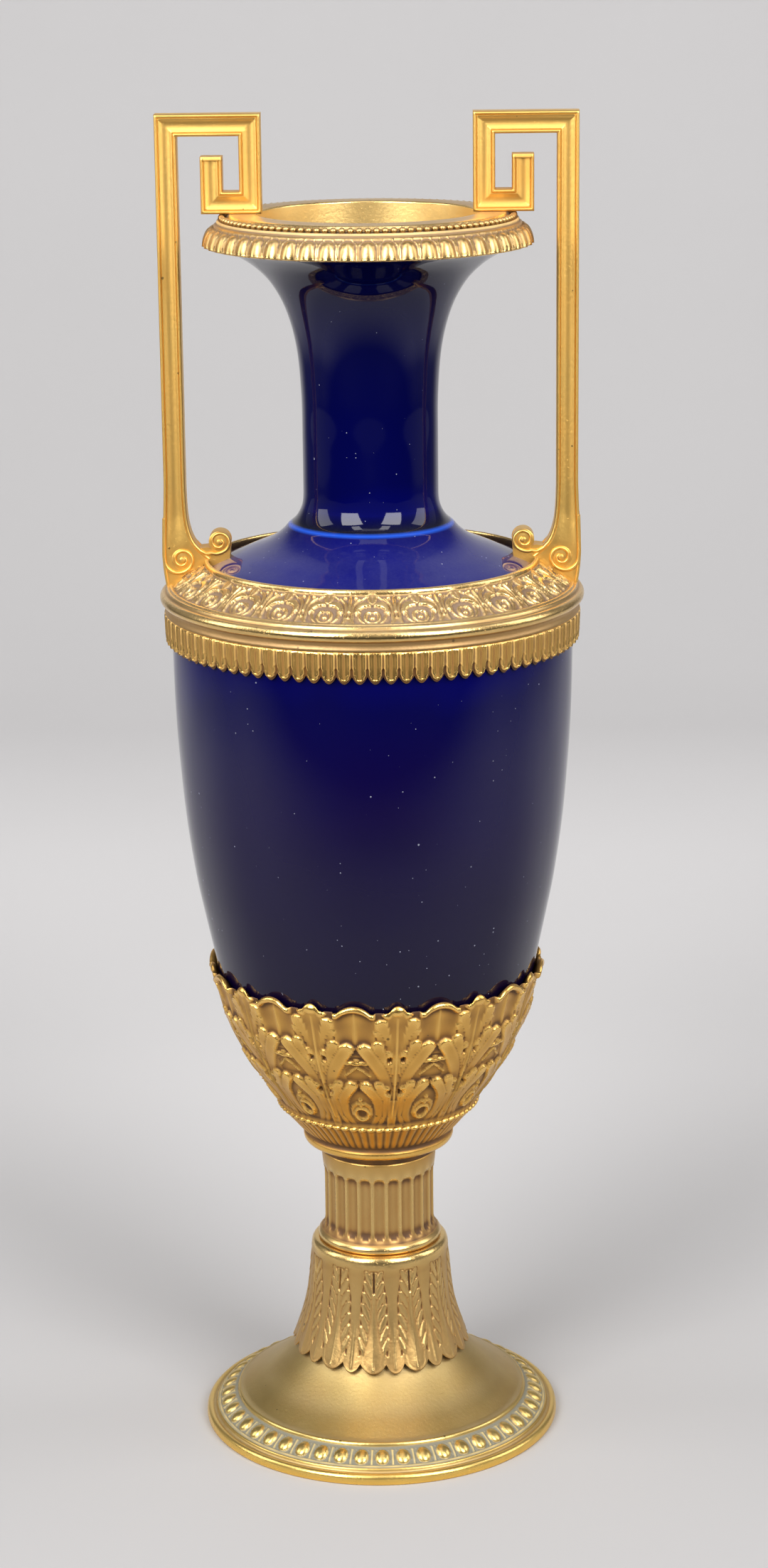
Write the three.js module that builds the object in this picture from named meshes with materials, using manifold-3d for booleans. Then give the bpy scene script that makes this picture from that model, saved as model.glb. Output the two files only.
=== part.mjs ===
// A porcelain amphora in gilt-brass mounts, in millimetres, +Z up, standing on z = 0 round the Z axis.
// The front is towards -Y. Turned and carved pieces are stacks of rings; the handles are extruded outlines.
import * as THREE from "three";
import { mergeVertices } from "three/addons/utils/BufferGeometryUtils.js";
import Module from "manifold-3d";

const wasm = await Module();
wasm.setup();

// Heights of the joints between the pieces
const HEIGHT = 600; // floor to the top of the handles
const STEM_BASE = 88; // the stem stands on the cuff
const CUP_BASE = 132; // the cup stands on the stem
const RIM_TOP = 557.8; // flat top of the mouth mount
const LIP_TOP = 546; // top of the porcelain lip, under the mount
const GAP = 0.3; // between pieces that touch

// Radii of the main forms
const FOOT_RADIUS = 81.8;
const SHOULDER_RADIUS = 93.3; // the torus, the widest round form
const RIM_RADIUS = 71.2;
const MOUTH_RADIUS = 47.4; // bore of the inner sleeve

// Numbers of repeats round the axis
const EGGS = 48;
const CUFF_LEAVES = 12; // broad ones, with as many narrow ones between
const FLUTES = 24;
const CUP_LEAVES = 12; // broad ones, with as many narrow ones between
const SCROLLS = 26;
const TONGUES = 86;
const RIM_TONGUES = 51;

// Corners of the plain round surfaces
const ROUND = 30;
const INSIDE = 15;

// Corners of a ring, as parts of a turn counted from the front towards +X: evenly spaced, or at the same
// places in each of count equal sectors, the first of which starts at a shift, in sectors, from the front.
const evenly = (count) => Array.from({ length: count }, (_, i) => i / count);
const perSector = (count, places, shift = 0) =>
  evenly(count)
    .flatMap((start) => places.map((place) => (start + (place + shift + 1) / count) % 1))
    .sort((a, b) => a - b);

// One ring of a turned piece; its radius and height are numbers, or functions of the place on the turn.
function ring(corners, radius, height) {
  const value = (given, turn) => (typeof given === "function" ? given(turn) : given);
  return corners.map((turn) => {
    const angle = 2 * Math.PI * turn;
    const r = value(radius, turn);
    const point = new THREE.Vector3(r * Math.sin(angle), -r * Math.cos(angle), value(height, turn));
    return { turn, point };
  });
}
const pole = (height) => ring([0], 0, height);
const plain = (corners, profile) =>
  profile.map(([radius, height]) => ring(evenly(corners), radius, height));

// Triangles between two neighbouring rings, which may have different numbers of corners.
function stitch(lower, upper) {
  const turnAfter = (corners, i) => (i + 1 < corners.length ? corners[i + 1].turn : 1 + corners[0].turn);
  const points = [];
  let i = 0;
  let j = 0;
  const lowerEnd = lower.length > 1 ? lower.length : 0;
  const upperEnd = upper.length > 1 ? upper.length : 0;
  while (i < lowerEnd || j < upperEnd) {
    const a = lower[i % lower.length].point;
    const b = upper[j % upper.length].point;
    const stepLower = j >= upperEnd || (i < lowerEnd && turnAfter(lower, i) <= turnAfter(upper, j));
    if (stepLower) points.push(a, lower[++i % lower.length].point, b);
    else points.push(a, upper[++j % upper.length].point, b);
  }
  return points;
}

// A closed solid from rings that run up the outside and down the inside; without poles it closes on itself.
function turned(rings) {
  const open = rings[0].length === 1;
  const pairs = rings.slice(1).map((upper, i) => [rings[i], upper]);
  if (!open) pairs.push([rings.at(-1), rings[0]]);
  return new THREE.BufferGeometry().setFromPoints(pairs.flatMap(([lower, upper]) => stitch(lower, upper)));
}

// A periodic wave round the axis: 1 at each repeat's middle and 0 between two repeats.
const wave = (turn, count, shift = 0) => 0.5 + 0.5 * Math.cos(2 * Math.PI * (turn * count - shift));

// Trumpet foot, hollow beneath, with an egg border
function foot() {
  const eggCorners = evenly(2 * EGGS);
  const egg = (proud) => (turn) => proud * wave(turn, EGGS);
  const outside = [
    ...plain(ROUND, [[FOOT_RADIUS, 0], [FOOT_RADIUS, 3.6], [79.2, 4.8]]),
    ring(evenly(EGGS), 76.2, 6.6),
    ring(eggCorners, (turn) => 74.9 + egg(0.4)(turn), 6.9),
    ring(eggCorners, (turn) => 71.8 + egg(1.1)(turn), (turn) => 8.6 + egg(2.1)(turn)),
    ring(evenly(EGGS), 68.6, 11.5),
    ...plain(ROUND, [[67.0, 12.9], [61.9, 16], [52.8, 22], [44.4, 29], [38.4, 35]]),
    ...plain(INSIDE, [[34.2, 40], [33.4, 44]]),
  ];
  const inside = plain(INSIDE, [[24, 44], [24, 40.5], [30, 38.2], [37.5, 30], [50, 20], [65, 9], [78, 0]]);
  return turned([...outside, ...inside]);
}

// Cuff of hanging leaves, whose tips stand clear of the foot
function leafCuff() {
  const turnShift = -5.4 / 30; // a broad leaf hangs a little left of the front
  const places = [0, 0.14, 0.26, 0.5, 0.74, 0.86];
  const corners = perSector(CUFF_LEAVES, places, turnShift);
  const broad = (turn) => wave(turn, CUFF_LEAVES, turnShift);
  const tips = (turn) => wave(turn, 2 * CUFF_LEAVES, 2 * turnShift);
  const carved = (r, low, high) => ring(corners, (turn) => r - low + (low + high) * tips(turn), 0);
  const at = (height, points) => points.map((p) => ({ ...p, point: p.point.clone().setZ(height(p.turn)) }));
  const level = (z) => () => z;
  const edge = (low) => (turn) => low + 4.2 * (1 - tips(turn)) + 0.7 * (1 - broad(turn));
  const outside = [
    at(edge(35.4), carved(41.2, 1.0, 0.6)),
    at(level(44.5), carved(38.2, 0.8, 0.5)),
    ring(corners, (turn) => 33.2 + 0.7 * broad(turn), 62),
    ring(corners, (turn) => 31.6 + 0.6 * broad(turn), 83),
    ...plain(2 * INSIDE, [[30.6, 86.4], [28.8, STEM_BASE]]),
  ];
  const inside = [
    ...plain(INSIDE, [[21, STEM_BASE], [22, 44 + GAP], [34.9, 44 + GAP], [35.3, 42]]),
    at(edge(35.6), ring(corners, 39.5, 0)),
  ];
  return turned([...outside, ...inside]);
}

// Short stem with stopped flutes
function flutedStem() {
  const corners = perSector(FLUTES, [0.2, 0.5, 0.8]); // both edges of a flute and its middle
  const depth = 1.3;
  const fluted = (radius) => (turn) => radius - depth * Math.max(0, 1 - 2 * wave(turn, FLUTES));
  const outside = [
    ...plain(ROUND, [[28, STEM_BASE + GAP], [28, 89.8], [26.2, 92.2]]),
    ...plain(ROUND, [[25.4, 96.2]]),
    ring(corners, fluted(25.15), 98.2),
    ring(corners, fluted(25.2), 120.2),
    ...plain(ROUND, [[25.5, 122.2], [26.4, CUP_BASE - GAP]]),
  ];
  const inside = plain(INSIDE, [[15, CUP_BASE - GAP], [15, STEM_BASE + GAP]]);
  return turned([...outside, ...inside]);
}

// Acanthus cup: torus, ribbed collar, corded ridge and two ranks of leaves with scalloped, curled tips
function acanthusCup() {
  const turnShift = 7 / 30 - 0.5; // a narrow leaf stands a little right of the front
  const places = [0, 0.19, 0.31, 0.5, 0.69, 0.81];
  const corners = perSector(CUP_LEAVES, places, turnShift);
  // 0 at the middle of a broad leaf and 0.5 at the middle of a narrow one
  const across = (turn) => {
    const place = (((turn * CUP_LEAVES - turnShift) % 1) + 1) % 1;
    return Math.min(place, 1 - place);
  };
  const notch = 0.31;
  const half = (place) => (place < notch ? place / notch : (0.5 - place) / (0.5 - notch));
  const tip = (turn) => Math.sqrt(Math.max(0, 1 - half(across(turn)) ** 2));
  const edge = (low) => (turn) => low + 6.5 * tip(turn);
  // Leaves stand proud in the middle of each lobe; the narrow leaf's rib runs down between the broad ones.
  const lobed = (radius, proud) => (turn) => radius + proud * (tip(turn) - 0.5);
  const belly = (radius, proud) => (turn) => radius + proud * (wave(across(turn), 2) - 0.5);
  const outside = [
    ...plain(ROUND, [[31.5, CUP_BASE], [33.9, 135.6], [33.4, 141.6]]),
    ...plain(ROUND, [[44.4, 154.0], [46.0, 155.2], [45.6, 156.8]]),
    ring(corners, belly(50.2, 2.2), 162.5),
    ring(corners, belly(58.6, 1.0), 176.5),
    ring(corners, belly(66.4, 2.0), 192),
    ring(corners, lobed(71.6, 1.5), edge(206.5)),
    ring(corners, lobed(74.2, 1.4), edge(215.5)),
  ];
  const inside = [
    ring(corners, 72.6, edge(215.2)),
    ...plain(ROUND, [[69.0, 205], [62.3, 190], [41.5, 157.2], [31.5, 147.2]]),
    ...plain(INSIDE, [[14, 147.2], [14, CUP_BASE]]),
  ];
  return turned([...outside, ...inside]);
}

// Porcelain body: the outside profile from the base to the lip, and a wall of true thickness
const BODY_OUTSIDE = [
  [30.2, 147.6], [40.2, 157.9], [51.5, 173.9], [61.1, 190.5], [71.1, 218], [77.6, 250], [83.5, 285],
  [86.9, 322], [88.3, 362], [88.1, 384], [84.4, 394.5], [71.0, 405.6], [48, 417], [34.9, 422.8],
  [30.9, 427.2], [29.6, 434], [29.6, 480], [31.5, 500], [35.6, 516], [45.2, 532], [55.1, 540],
  [64.2, 543.8], [64.6, LIP_TOP],
];
const BODY_INSIDE = [
  [53.5, LIP_TOP], [50.3, 541.5], [40.5, 533.5], [30.6, 516], [25.2, 488], [24.5, 436], [30, 419],
  [66, 401], [81, 389], [83, 362], [81, 312], [68.0, 224], [52, 184], [34, 162],
];
function vessel() {
  return turned([
    pole(147.6), ...plain(ROUND, BODY_OUTSIDE), ...plain(INSIDE, BODY_INSIDE), pole(155),
  ]);
}

// Ring on the shoulder: scrolled band, torus and cavetto
function shoulderRing() {
  const corners = perSector(SCROLLS, [0, 0.33, 0.67]);
  const scroll = (turn) => wave(turn, SCROLLS);
  const raised = (radius, height, proud) => {
    const out = (start, part) => (turn) => start + part * proud * scroll(turn);
    return ring(corners, out(radius, 0.55), out(height, 0.83));
  };
  const outside = [
    ...plain(ROUND, [[91.2, 385.2], [90.7, 388.4], [SHOULDER_RADIUS, 391.2]]),
    ...plain(ROUND, [[92.4, 393.6], [90.4, 394.8], [88.2, 396]]),
    raised(84.2, 398.7, 1.0),
    raised(77.4, 403.4, 0.9),
    ...plain(ROUND, [[73.8, 406.3], [72.8, 407.6], [71.6, 407.5]]),
  ];
  const inside = plain(ROUND, [[71.6, 406.4], [85.3, 395.3], [89.4, 385.2]]);
  return turned([...outside, ...inside]);
}

// Fringe of hanging tongues
function tongueFringe() {
  const tongue = (turn) => wave(turn, TONGUES);
  const tips = ring(
    evenly(2 * TONGUES),
    (turn) => 90.5 + 1.3 * tongue(turn),
    (turn) => 374.4 - 3.4 * tongue(turn),
  );
  return turned([
    tips,
    ring(evenly(TONGUES), 91.6, 384.8),
    ...plain(ROUND, [[89.3, 384.8], [89.4, 372.6]]),
  ]);
}

// Mount of the mouth: arched tongues, bead row, flat top and inner sleeve
function rimMount() {
  const corners = evenly(2 * RIM_TONGUES);
  const arch = (turn) => wave(turn, RIM_TONGUES);
  const outside = [
    ...plain(ROUND, [[65.4, 544.4]]),
    ring(corners, (turn) => RIM_RADIUS - 1.2 + 1.2 * arch(turn), (turn) => 545.2 - 0.9 * arch(turn)),
    ring(corners, (turn) => 69.4 + 1.2 * arch(turn), 548.4),
    ...plain(ROUND, [[67.4, 551.6], [64.8, 553.5], [64.0, 555.6], [61.4, 555.9], [59.6, RIM_TOP]]),
    ...plain(ROUND, [[MOUTH_RADIUS, RIM_TOP]]),
  ];
  const inside = [
    ...plain(ROUND, [[MOUTH_RADIUS, 541.6], [49.2, 541.6], [49.2, LIP_TOP + GAP]]),
    ...plain(ROUND, [[65.2, LIP_TOP + GAP]]),
  ];
  return turned([...outside, ...inside]);
}

// Greek-key handle, drawn for the +X side in the plane y = 0
const KEY_BAR = 9.4; // width of the bars in the drawing plane
const KEY_DEPTH = 11; // front to back
const KEY_OUTER = 90.4; // outer edge of the upright at the top
const KEY_INNER = 45.2; // edge of the key nearest the axis
const KEY_TONGUE = 582; // top of the tongue inside the key
const TONGUE_EDGE = 71.2; // outer edge of the tongue, which stands over the rim's edge
const CHANNEL_EDGE = 1.6; // width of the raised fillets beside the channels
const CHANNEL_DEPTH = 1.2;
const INNER_VOLUTE = { x: 66.7, z: 414.3, radius: 4.8 };
const OUTER_VOLUTE = { x: 83.4, z: 406.8, radius: 5.2 };

// Outline of the key and its upright; with an inset it is the channel in the face.
function keyOutline(inset) {
  const bar = KEY_BAR;
  const rest = RIM_TOP; // the key stands on the rim's flat top
  const shape = new THREE.Shape();
  shape.moveTo(KEY_OUTER - inset, HEIGHT - inset);
  shape.lineTo(KEY_INNER + inset, HEIGHT - inset);
  shape.lineTo(KEY_INNER + inset, rest + inset);
  shape.lineTo(TONGUE_EDGE - inset, rest + inset);
  shape.lineTo(TONGUE_EDGE - inset, KEY_TONGUE - inset);
  shape.lineTo(TONGUE_EDGE - bar + inset, KEY_TONGUE - inset);
  shape.lineTo(TONGUE_EDGE - bar + inset, rest + bar - inset);
  shape.lineTo(KEY_INNER + bar - inset, rest + bar - inset);
  shape.lineTo(KEY_INNER + bar - inset, HEIGHT - bar + inset);
  shape.lineTo(KEY_OUTER - bar + inset, HEIGHT - bar + inset);
  shape.lineTo(KEY_OUTER - bar + inset, 450);
  if (inset > 0) {
    shape.bezierCurveTo(80.6 + inset, 436, 79, 424, 76, 417.5);
    shape.lineTo(86.5, 413.5);
    shape.quadraticCurveTo(90.6, 420, 90.4, 430);
  } else {
    shape.bezierCurveTo(80.9, 436, 79.2, 424.5, 72.5, 418.2);
    shape.bezierCurveTo(71.6, 417.2, 71.4, 416, 71.2, 414.8);
    shape.lineTo(66.7, 410);
    shape.lineTo(72, 402);
    shape.lineTo(90.4, 392);
    shape.quadraticCurveTo(92.4, 410, 91.9, 430);
  }
  return shape;
}

function extrude(shape, depth) {
  const geometry = new THREE.ExtrudeGeometry(shape, { depth, bevelEnabled: false, curveSegments: 4 });
  return geometry.translate(0, 0, -depth / 2).rotateX(Math.PI / 2);
}

function solid(geometry) {
  const bare = geometry.clone();
  bare.deleteAttribute("normal");
  bare.deleteAttribute("uv");
  const merged = mergeVertices(bare, 1e-4);
  const vertProperties = new Float32Array(merged.attributes.position.array);
  const triVerts = new Uint32Array(merged.index.array);
  return new wasm.Manifold(new wasm.Mesh({ numProp: 3, vertProperties, triVerts }));
}

function geometryOf(manifold) {
  const { vertProperties, triVerts } = manifold.getMesh();
  const geometry = new THREE.BufferGeometry();
  geometry.setAttribute("position", new THREE.BufferAttribute(vertProperties, 3));
  return geometry.setIndex(new THREE.BufferAttribute(triVerts, 1));
}

// A volute: a drum with a raised boss on both faces
function volute({ x, z, radius }) {
  const drum = new THREE.CylinderGeometry(radius, radius, KEY_DEPTH, 10);
  const boss = new THREE.CylinderGeometry(0.42 * radius, 0.42 * radius, KEY_DEPTH + 1, 6);
  return solid(drum.translate(x, 0, z)).add(solid(boss.translate(x, 0, z)));
}

// What the handle's foot stands on: the ring's slope and the glazed shoulder, raised by the gap
function seat() {
  const profile = [
    [0, 380], [96, 380], [96, 392.6], [92.9, 394.4], [90.6, 395.6], [88.4, 396.7], [84.6, 400.2],
    [77.8, 405], [73.8, 407.2], [72.6, 408.1], [71.2, 408.1], [71.2, 406], [58, 412.9], [0, 430],
  ].map(([r, z]) => new THREE.Vector2(r, z));
  return solid(new THREE.LatheGeometry(profile, 2 * ROUND).rotateX(Math.PI / 2));
}

function handle() {
  const channel = (side) =>
    solid(extrude(keyOutline(CHANNEL_EDGE), 2 * CHANNEL_DEPTH).translate(0, (side * KEY_DEPTH) / 2, 0));
  const body = solid(extrude(keyOutline(0), KEY_DEPTH))
    .subtract(channel(-1))
    .subtract(channel(1))
    .add(volute(INNER_VOLUTE))
    .add(volute(OUTER_VOLUTE))
    .subtract(seat());
  return geometryOf(body);
}

// Finishes
const gilt = (color, roughness) => new THREE.MeshStandardMaterial({ color, roughness, metalness: 1 });
const FINISHES = {
  satin: gilt("#c79a4e", 0.42),
  carved: gilt("#bf8f43", 0.45),
  dusty: gilt("#b89a6c", 0.5),
  bright: gilt("#cfa14a", 0.32),
  glaze: new THREE.MeshStandardMaterial({ color: "#0b1260", roughness: 0.06, metalness: 0 }),
};

function piece(name, geometry, material) {
  const mesh = new THREE.Mesh(geometry, material);
  mesh.name = name;
  return mesh;
}

const amphora = new THREE.Group();
amphora.add(
  piece("foot", foot(), FINISHES.satin),
  piece("leaf_cuff", leafCuff(), FINISHES.carved),
  piece("fluted_stem", flutedStem(), FINISHES.satin),
  piece("acanthus_cup", acanthusCup(), FINISHES.carved),
  piece("vessel", vessel(), FINISHES.glaze),
  piece("shoulder_ring", shoulderRing(), FINISHES.dusty),
  piece("tongue_fringe", tongueFringe(), FINISHES.carved),
  piece("rim_mount", rimMount(), FINISHES.dusty),
);
const handleGeometry = handle();
const right = piece("handle_right", handleGeometry, FINISHES.bright);
const left = piece("handle_left", handleGeometry, FINISHES.bright);
left.rotation.z = Math.PI;
amphora.add(right, left);

export default amphora;
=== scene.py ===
# %% [markdown]
# # A cobalt-blue porcelain amphora in gilt-brass mounts
# The vase is a stack of thrown, cast and chased rings round one axis, with two cast handles. The lesson starts from
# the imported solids, which fix every height and radius, and dresses each of them with a finer piece of the same form.

# %% The frame
import math

import bmesh
import bpy
import numpy as np
from mathutils import Matrix, Vector


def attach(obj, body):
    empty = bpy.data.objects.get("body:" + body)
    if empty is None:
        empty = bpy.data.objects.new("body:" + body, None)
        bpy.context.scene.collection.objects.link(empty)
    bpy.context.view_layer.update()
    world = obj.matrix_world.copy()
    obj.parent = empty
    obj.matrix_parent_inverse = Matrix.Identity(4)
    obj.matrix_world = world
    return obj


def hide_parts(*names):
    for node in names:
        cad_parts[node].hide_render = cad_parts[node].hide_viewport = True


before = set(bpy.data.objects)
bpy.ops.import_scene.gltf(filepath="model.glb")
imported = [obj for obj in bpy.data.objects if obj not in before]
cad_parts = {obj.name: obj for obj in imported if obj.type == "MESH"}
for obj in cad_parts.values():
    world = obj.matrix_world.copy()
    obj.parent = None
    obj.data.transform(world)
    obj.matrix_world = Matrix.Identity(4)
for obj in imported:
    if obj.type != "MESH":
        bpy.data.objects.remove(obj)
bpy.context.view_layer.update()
MM = 0.001

# %% [markdown]
# ## Camera
# The vase was photographed from a little above its middle with a long lens, and stands a shade off upright in the
# picture. The camera orbits one degree, so that the right handle is slightly nearer, and rolls against the lean.


# %% Camera
def placed(name, data):
    """A new object in the scene."""
    made = bpy.data.objects.new(name, data)
    bpy.context.scene.collection.objects.link(made)
    return made


IMAGE_HEIGHT = 2206
FRONT = 1.0  # degrees round the axis that the picture's middle sees
CAMERA_DISTANCE, CAMERA_HEIGHT = 1.4866, 0.7059
CAMERA_PITCH, CAMERA_ROLL = 15.14, -0.68
AXIS_OFFSET = 13.5  # pixels that the axis stands left of the picture's middle
SENSOR, LENS = 36, 78.95  # millimetres
NEAR, FAR = 0.05, 20

camera = placed("camera", bpy.data.cameras.new("camera"))
camera.data.sensor_fit = "AUTO"
camera.data.sensor_width, camera.data.lens = SENSOR, LENS
camera.data.shift_x = AXIS_OFFSET / IMAGE_HEIGHT
camera.data.clip_start, camera.data.clip_end = NEAR, FAR
camera.matrix_world = (
    Matrix.Rotation(math.radians(FRONT), 4, "Z")
    @ Matrix.Translation((0, -CAMERA_DISTANCE, CAMERA_HEIGHT))
    @ Matrix.Rotation(math.radians(90 - CAMERA_PITCH), 4, "X")
    @ Matrix.Rotation(math.radians(CAMERA_ROLL), 4, "Z")
)
bpy.context.scene.camera = camera
print("camera", [round(c, 3) for c in camera.location])

# %% [markdown]
# ## Studio
# A pale sweep of paper runs under the vase and up behind it. Polished metal and gloss glaze show what stands round
# them, so the paper's colour is painted almost black where it lies in front of the picture, as painted shade in place
# of a dark room, and the air is a dim grey. The paper's colour also carries painted light: grey levels that brighten
# it towards the back, and painted shade to either side. Its back is clear, so that the vase can be looked at from
# behind. The reflections come from seven soft boxes: one at each side, one above, two small ones high in front for
# the shoulder, and two tall ones in front for the arcs on the ring.


# %% Node helpers
def add(tree, kind, inputs=None, **settings):
    """A new node; its inputs are values or the sockets to link."""
    new = tree.nodes.new(kind)
    for key, value in settings.items():
        setattr(new, key, value)
    for key, value in (inputs or {}).items():
        if isinstance(value, bpy.types.NodeSocket):
            tree.links.new(value, new.inputs[key])
        else:
            new.inputs[key].default_value = value
    return new


def maths(operation, *values, clamp=False):
    """Sums on sockets and numbers, in the tree that the sockets belong to."""
    tree = next(v for v in values if isinstance(v, bpy.types.NodeSocket)).id_data
    return add(tree, "ShaderNodeMath", dict(enumerate(values)), operation=operation, use_clamp=clamp).outputs[0]


def times(*values, clamp=False):
    return maths("MULTIPLY", *values, clamp=clamp)


def vectors(operation, vector, *values, out="Vector"):
    inputs = {0: vector, **dict(enumerate(values, 1))}
    return add(vector.id_data, "ShaderNodeVectorMath", inputs, operation=operation).outputs[out]


def scaled(vector, factor):
    made = add(vector.id_data, "ShaderNodeVectorMath", {0: vector, "Scale": factor}, operation="SCALE")
    return made.outputs["Vector"]


def axis(vector, letter):
    return add(vector.id_data, "ShaderNodeSeparateXYZ", {"Vector": vector}).outputs[letter]


def place_on(tree):
    """The place on the object, in metres."""
    return add(tree, "ShaderNodeTexCoord").outputs["Object"]


def noise(where, scale, detail=2.0, rough=0.5):
    inputs = {"Vector": where, "Scale": scale, "Detail": detail, "Roughness": rough}
    return add(where.id_data, "ShaderNodeTexNoise", inputs).outputs["Fac"]


def ranged(value, low, high, start=0.0, end=1.0, kind="SMOOTHSTEP"):
    """From start to end while the value goes from low to high."""
    inputs = {"Value": value, "From Min": low, "From Max": high, "To Min": start, "To Max": end}
    return add(value.id_data, "ShaderNodeMapRange", inputs, interpolation_type=kind).outputs["Result"]


def ramp(factor, *stops, kind="LINEAR"):
    """Colours at rising places from 0 to 1. All stops are made before any is set, because making one moves others."""
    made = add(factor.id_data, "ShaderNodeValToRGB", {"Fac": factor})
    made.color_ramp.interpolation = kind
    elements = made.color_ramp.elements
    while len(elements) > len(stops):
        elements.remove(elements[len(elements) - 1])
    while len(elements) < len(stops):
        elements.new(1.0)
    for element, (place, colour) in zip(elements, stops):
        element.position, element.color = place, (*colour, 1)
    return made.outputs["Color"]


def new_material(name):
    material = bpy.data.materials.new(name)
    material.use_nodes = True
    return material, material.node_tree, material.node_tree.nodes["Principled BSDF"]


# %% Paper sweep
SWEEP_WIDTH, SWEEP_FRONT, SWEEP_BACK, SWEEP_HEIGHT, SWEEP_BEND = 5.0, -2.6, 1.3, 3.2, 0.7
BEND_STEPS = 12
PAPER_TONES = (0.730, 0.721, 0.723), (0.765, 0.755, 0.758)
# Painted shade: the paper's colour falls almost to black in front, and dims to either side.
DARK_BEFORE, PALE_FROM, DARKEST = -0.95, -0.22, 0.03  # metres in Y, and the shade of the dark part
SIDE_FROM, SIDE_TO, SIDE_SHADE = 0.9, 1.8, 0.25  # metres to either side
# Painted light: the grey levels below brighten the paper's colour from the front towards the back.
LEVEL_FROM, LEVEL_TO = -0.5, 2.0  # metres in Y that the grey levels are spread over
PAINTED_LIGHT_LEVELS = ((0.16, 0.56), (0.4, 0.84), (0.6, 1.0), (0.96, 0.82))


def paper_sweep():
    arc = [math.pi / 2 * i / BEND_STEPS for i in range(BEND_STEPS + 1)]
    line = [(SWEEP_FRONT, 0.0)]
    line += [(SWEEP_BACK + SWEEP_BEND * math.sin(a), SWEEP_BEND * (1 - math.cos(a))) for a in arc]
    line += [(SWEEP_BACK + SWEEP_BEND, SWEEP_HEIGHT)]
    points = [(x, y, z) for y, z in line for x in (-SWEEP_WIDTH / 2, SWEEP_WIDTH / 2)]
    faces = [(2 * i, 2 * i + 1, 2 * i + 3, 2 * i + 2) for i in range(len(line) - 1)]
    mesh = bpy.data.meshes.new("paper_sweep")
    mesh.from_pydata(points, [], faces)
    mesh.shade_smooth()
    return placed("paper_sweep", mesh)


floor = paper_sweep()
paper, tree, surface = new_material("paper")
where = place_on(tree)
tone = ramp(noise(where, 3.0, 3.0), *zip((0.0, 1.0), PAPER_TONES))
towards = axis(where, "Y")
# Painted shade and painted light in the paper's colour: the dark front, the grey levels and the dim sides.
shade = ranged(towards, DARK_BEFORE, PALE_FROM, DARKEST)
spread = ranged(towards, LEVEL_FROM, LEVEL_TO, kind="LINEAR")
level = ramp(spread, *[(at, (grey, grey, grey)) for at, grey in PAINTED_LIGHT_LEVELS], kind="EASE")
beside = ranged(maths("ABSOLUTE", axis(where, "X")), SIDE_FROM, SIDE_TO, 1.0, SIDE_SHADE)
tree.links.new(scaled(scaled(scaled(tone, shade), level), beside), surface.inputs["Base Color"])
surface.inputs["Roughness"].default_value = 0.85
surface.inputs["Specular IOR Level"].default_value = 0.2
clear = add(tree, "ShaderNodeBsdfTransparent").outputs["BSDF"]
behind = add(tree, "ShaderNodeNewGeometry").outputs["Backfacing"]
seen = add(tree, "ShaderNodeMixShader", {0: behind, 1: surface.outputs["BSDF"], 2: clear})
tree.links.new(seen.outputs["Shader"], tree.nodes["Material Output"].inputs["Surface"])
floor.data.materials.append(paper)
print("paper sweep:", len(floor.data.polygons), "faces")

# %% Lights
world = bpy.data.worlds.new("studio_air")
bpy.context.scene.world = world
world.use_nodes = True
air = world.node_tree
heading = add(air, "ShaderNodeTexCoord").outputs["Generated"]
brighter_behind = ranged(axis(heading, "Y"), -0.8, 0.3, 0.10, 0.25)
darker_above = ranged(axis(heading, "Z"), 0.25, 0.75, 1.0, 0.16)
air.nodes["Background"].inputs["Color"].default_value = (0.94, 0.95, 1.0, 1)
air.links.new(times(brighter_behind, darker_above), air.nodes["Background"].inputs["Strength"])

LOW_AIM, HIGH_AIM = (0, 0, 0.3), (0, 0, 0.4)
LAMP_WHITE = (1.0, 0.99, 0.985)
for name, place, aim, size, power in (
    ("box_left", (-1.9, -0.1, 1.2), LOW_AIM, (0.8, 1.5), 13),
    ("box_right", (1.9, 0.1, 1.2), LOW_AIM, (0.8, 1.5), 12),
    ("box_above", (0.05, -0.45, 2.6), LOW_AIM, (0.9, 1.2), 4),
    ("box_high_left", (-0.50, -0.80, 2.0), HIGH_AIM, (0.32, 0.42), 2.4),
    ("box_high_right", (0.50, -0.80, 2.0), HIGH_AIM, (0.32, 0.42), 2.4),
    ("box_front_left", (-1.10, -1.55, 1.5), HIGH_AIM, (1.15, 1.5), 54),
    ("box_front_right", (1.20, -1.50, 1.5), HIGH_AIM, (1.05, 1.5), 47),
):
    light = bpy.data.lights.new(name, "AREA")
    light.shape, light.color, light.energy = "RECTANGLE", LAMP_WHITE, power
    light.size, light.size_y = size
    lamp = placed(name, light)
    lamp.location = place
    lamp.rotation_euler = (Vector(aim) - Vector(place)).to_track_quat("-Z", "Y").to_euler()
bpy.context.scene.view_settings.view_transform = "Standard"

# %% [markdown]
# ## Wear, dirt, dust and painted light
# The same three things age every mount: dirt stays in the hollows, hands rub the edges bright, and dust settles on
# whatever faces up. The dark in the hollows is also painted shade, and the bright edges are also painted highlights.
# Each is a small shader group that puts out a mask, so that every finish can use it in its own measure. The hollows
# and edges themselves are measured on the carved meshes and come in as two attributes.


# %% Shader groups
def open_group(name, **inputs):
    """A new shader group with its inputs, and the place on the object in it."""
    group = bpy.data.node_groups.new(name, "ShaderNodeTree")
    for label, value in inputs.items():
        socket = group.interface.new_socket(label, in_out="INPUT", socket_type="NodeSocketFloat")
        socket.default_value = value
    return group, group.nodes.new("NodeGroupInput").outputs, place_on(group)


def close_group(group, **outputs):
    for label in outputs:
        group.interface.new_socket(label, in_out="OUTPUT", socket_type="NodeSocketFloat")
    out = group.nodes.new("NodeGroupOutput")
    for label, socket in outputs.items():
        group.links.new(socket, out.inputs[label])
    return group


def attribute(tree, name):
    return add(tree, "ShaderNodeAttribute", attribute_name=name).outputs["Fac"]


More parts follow.
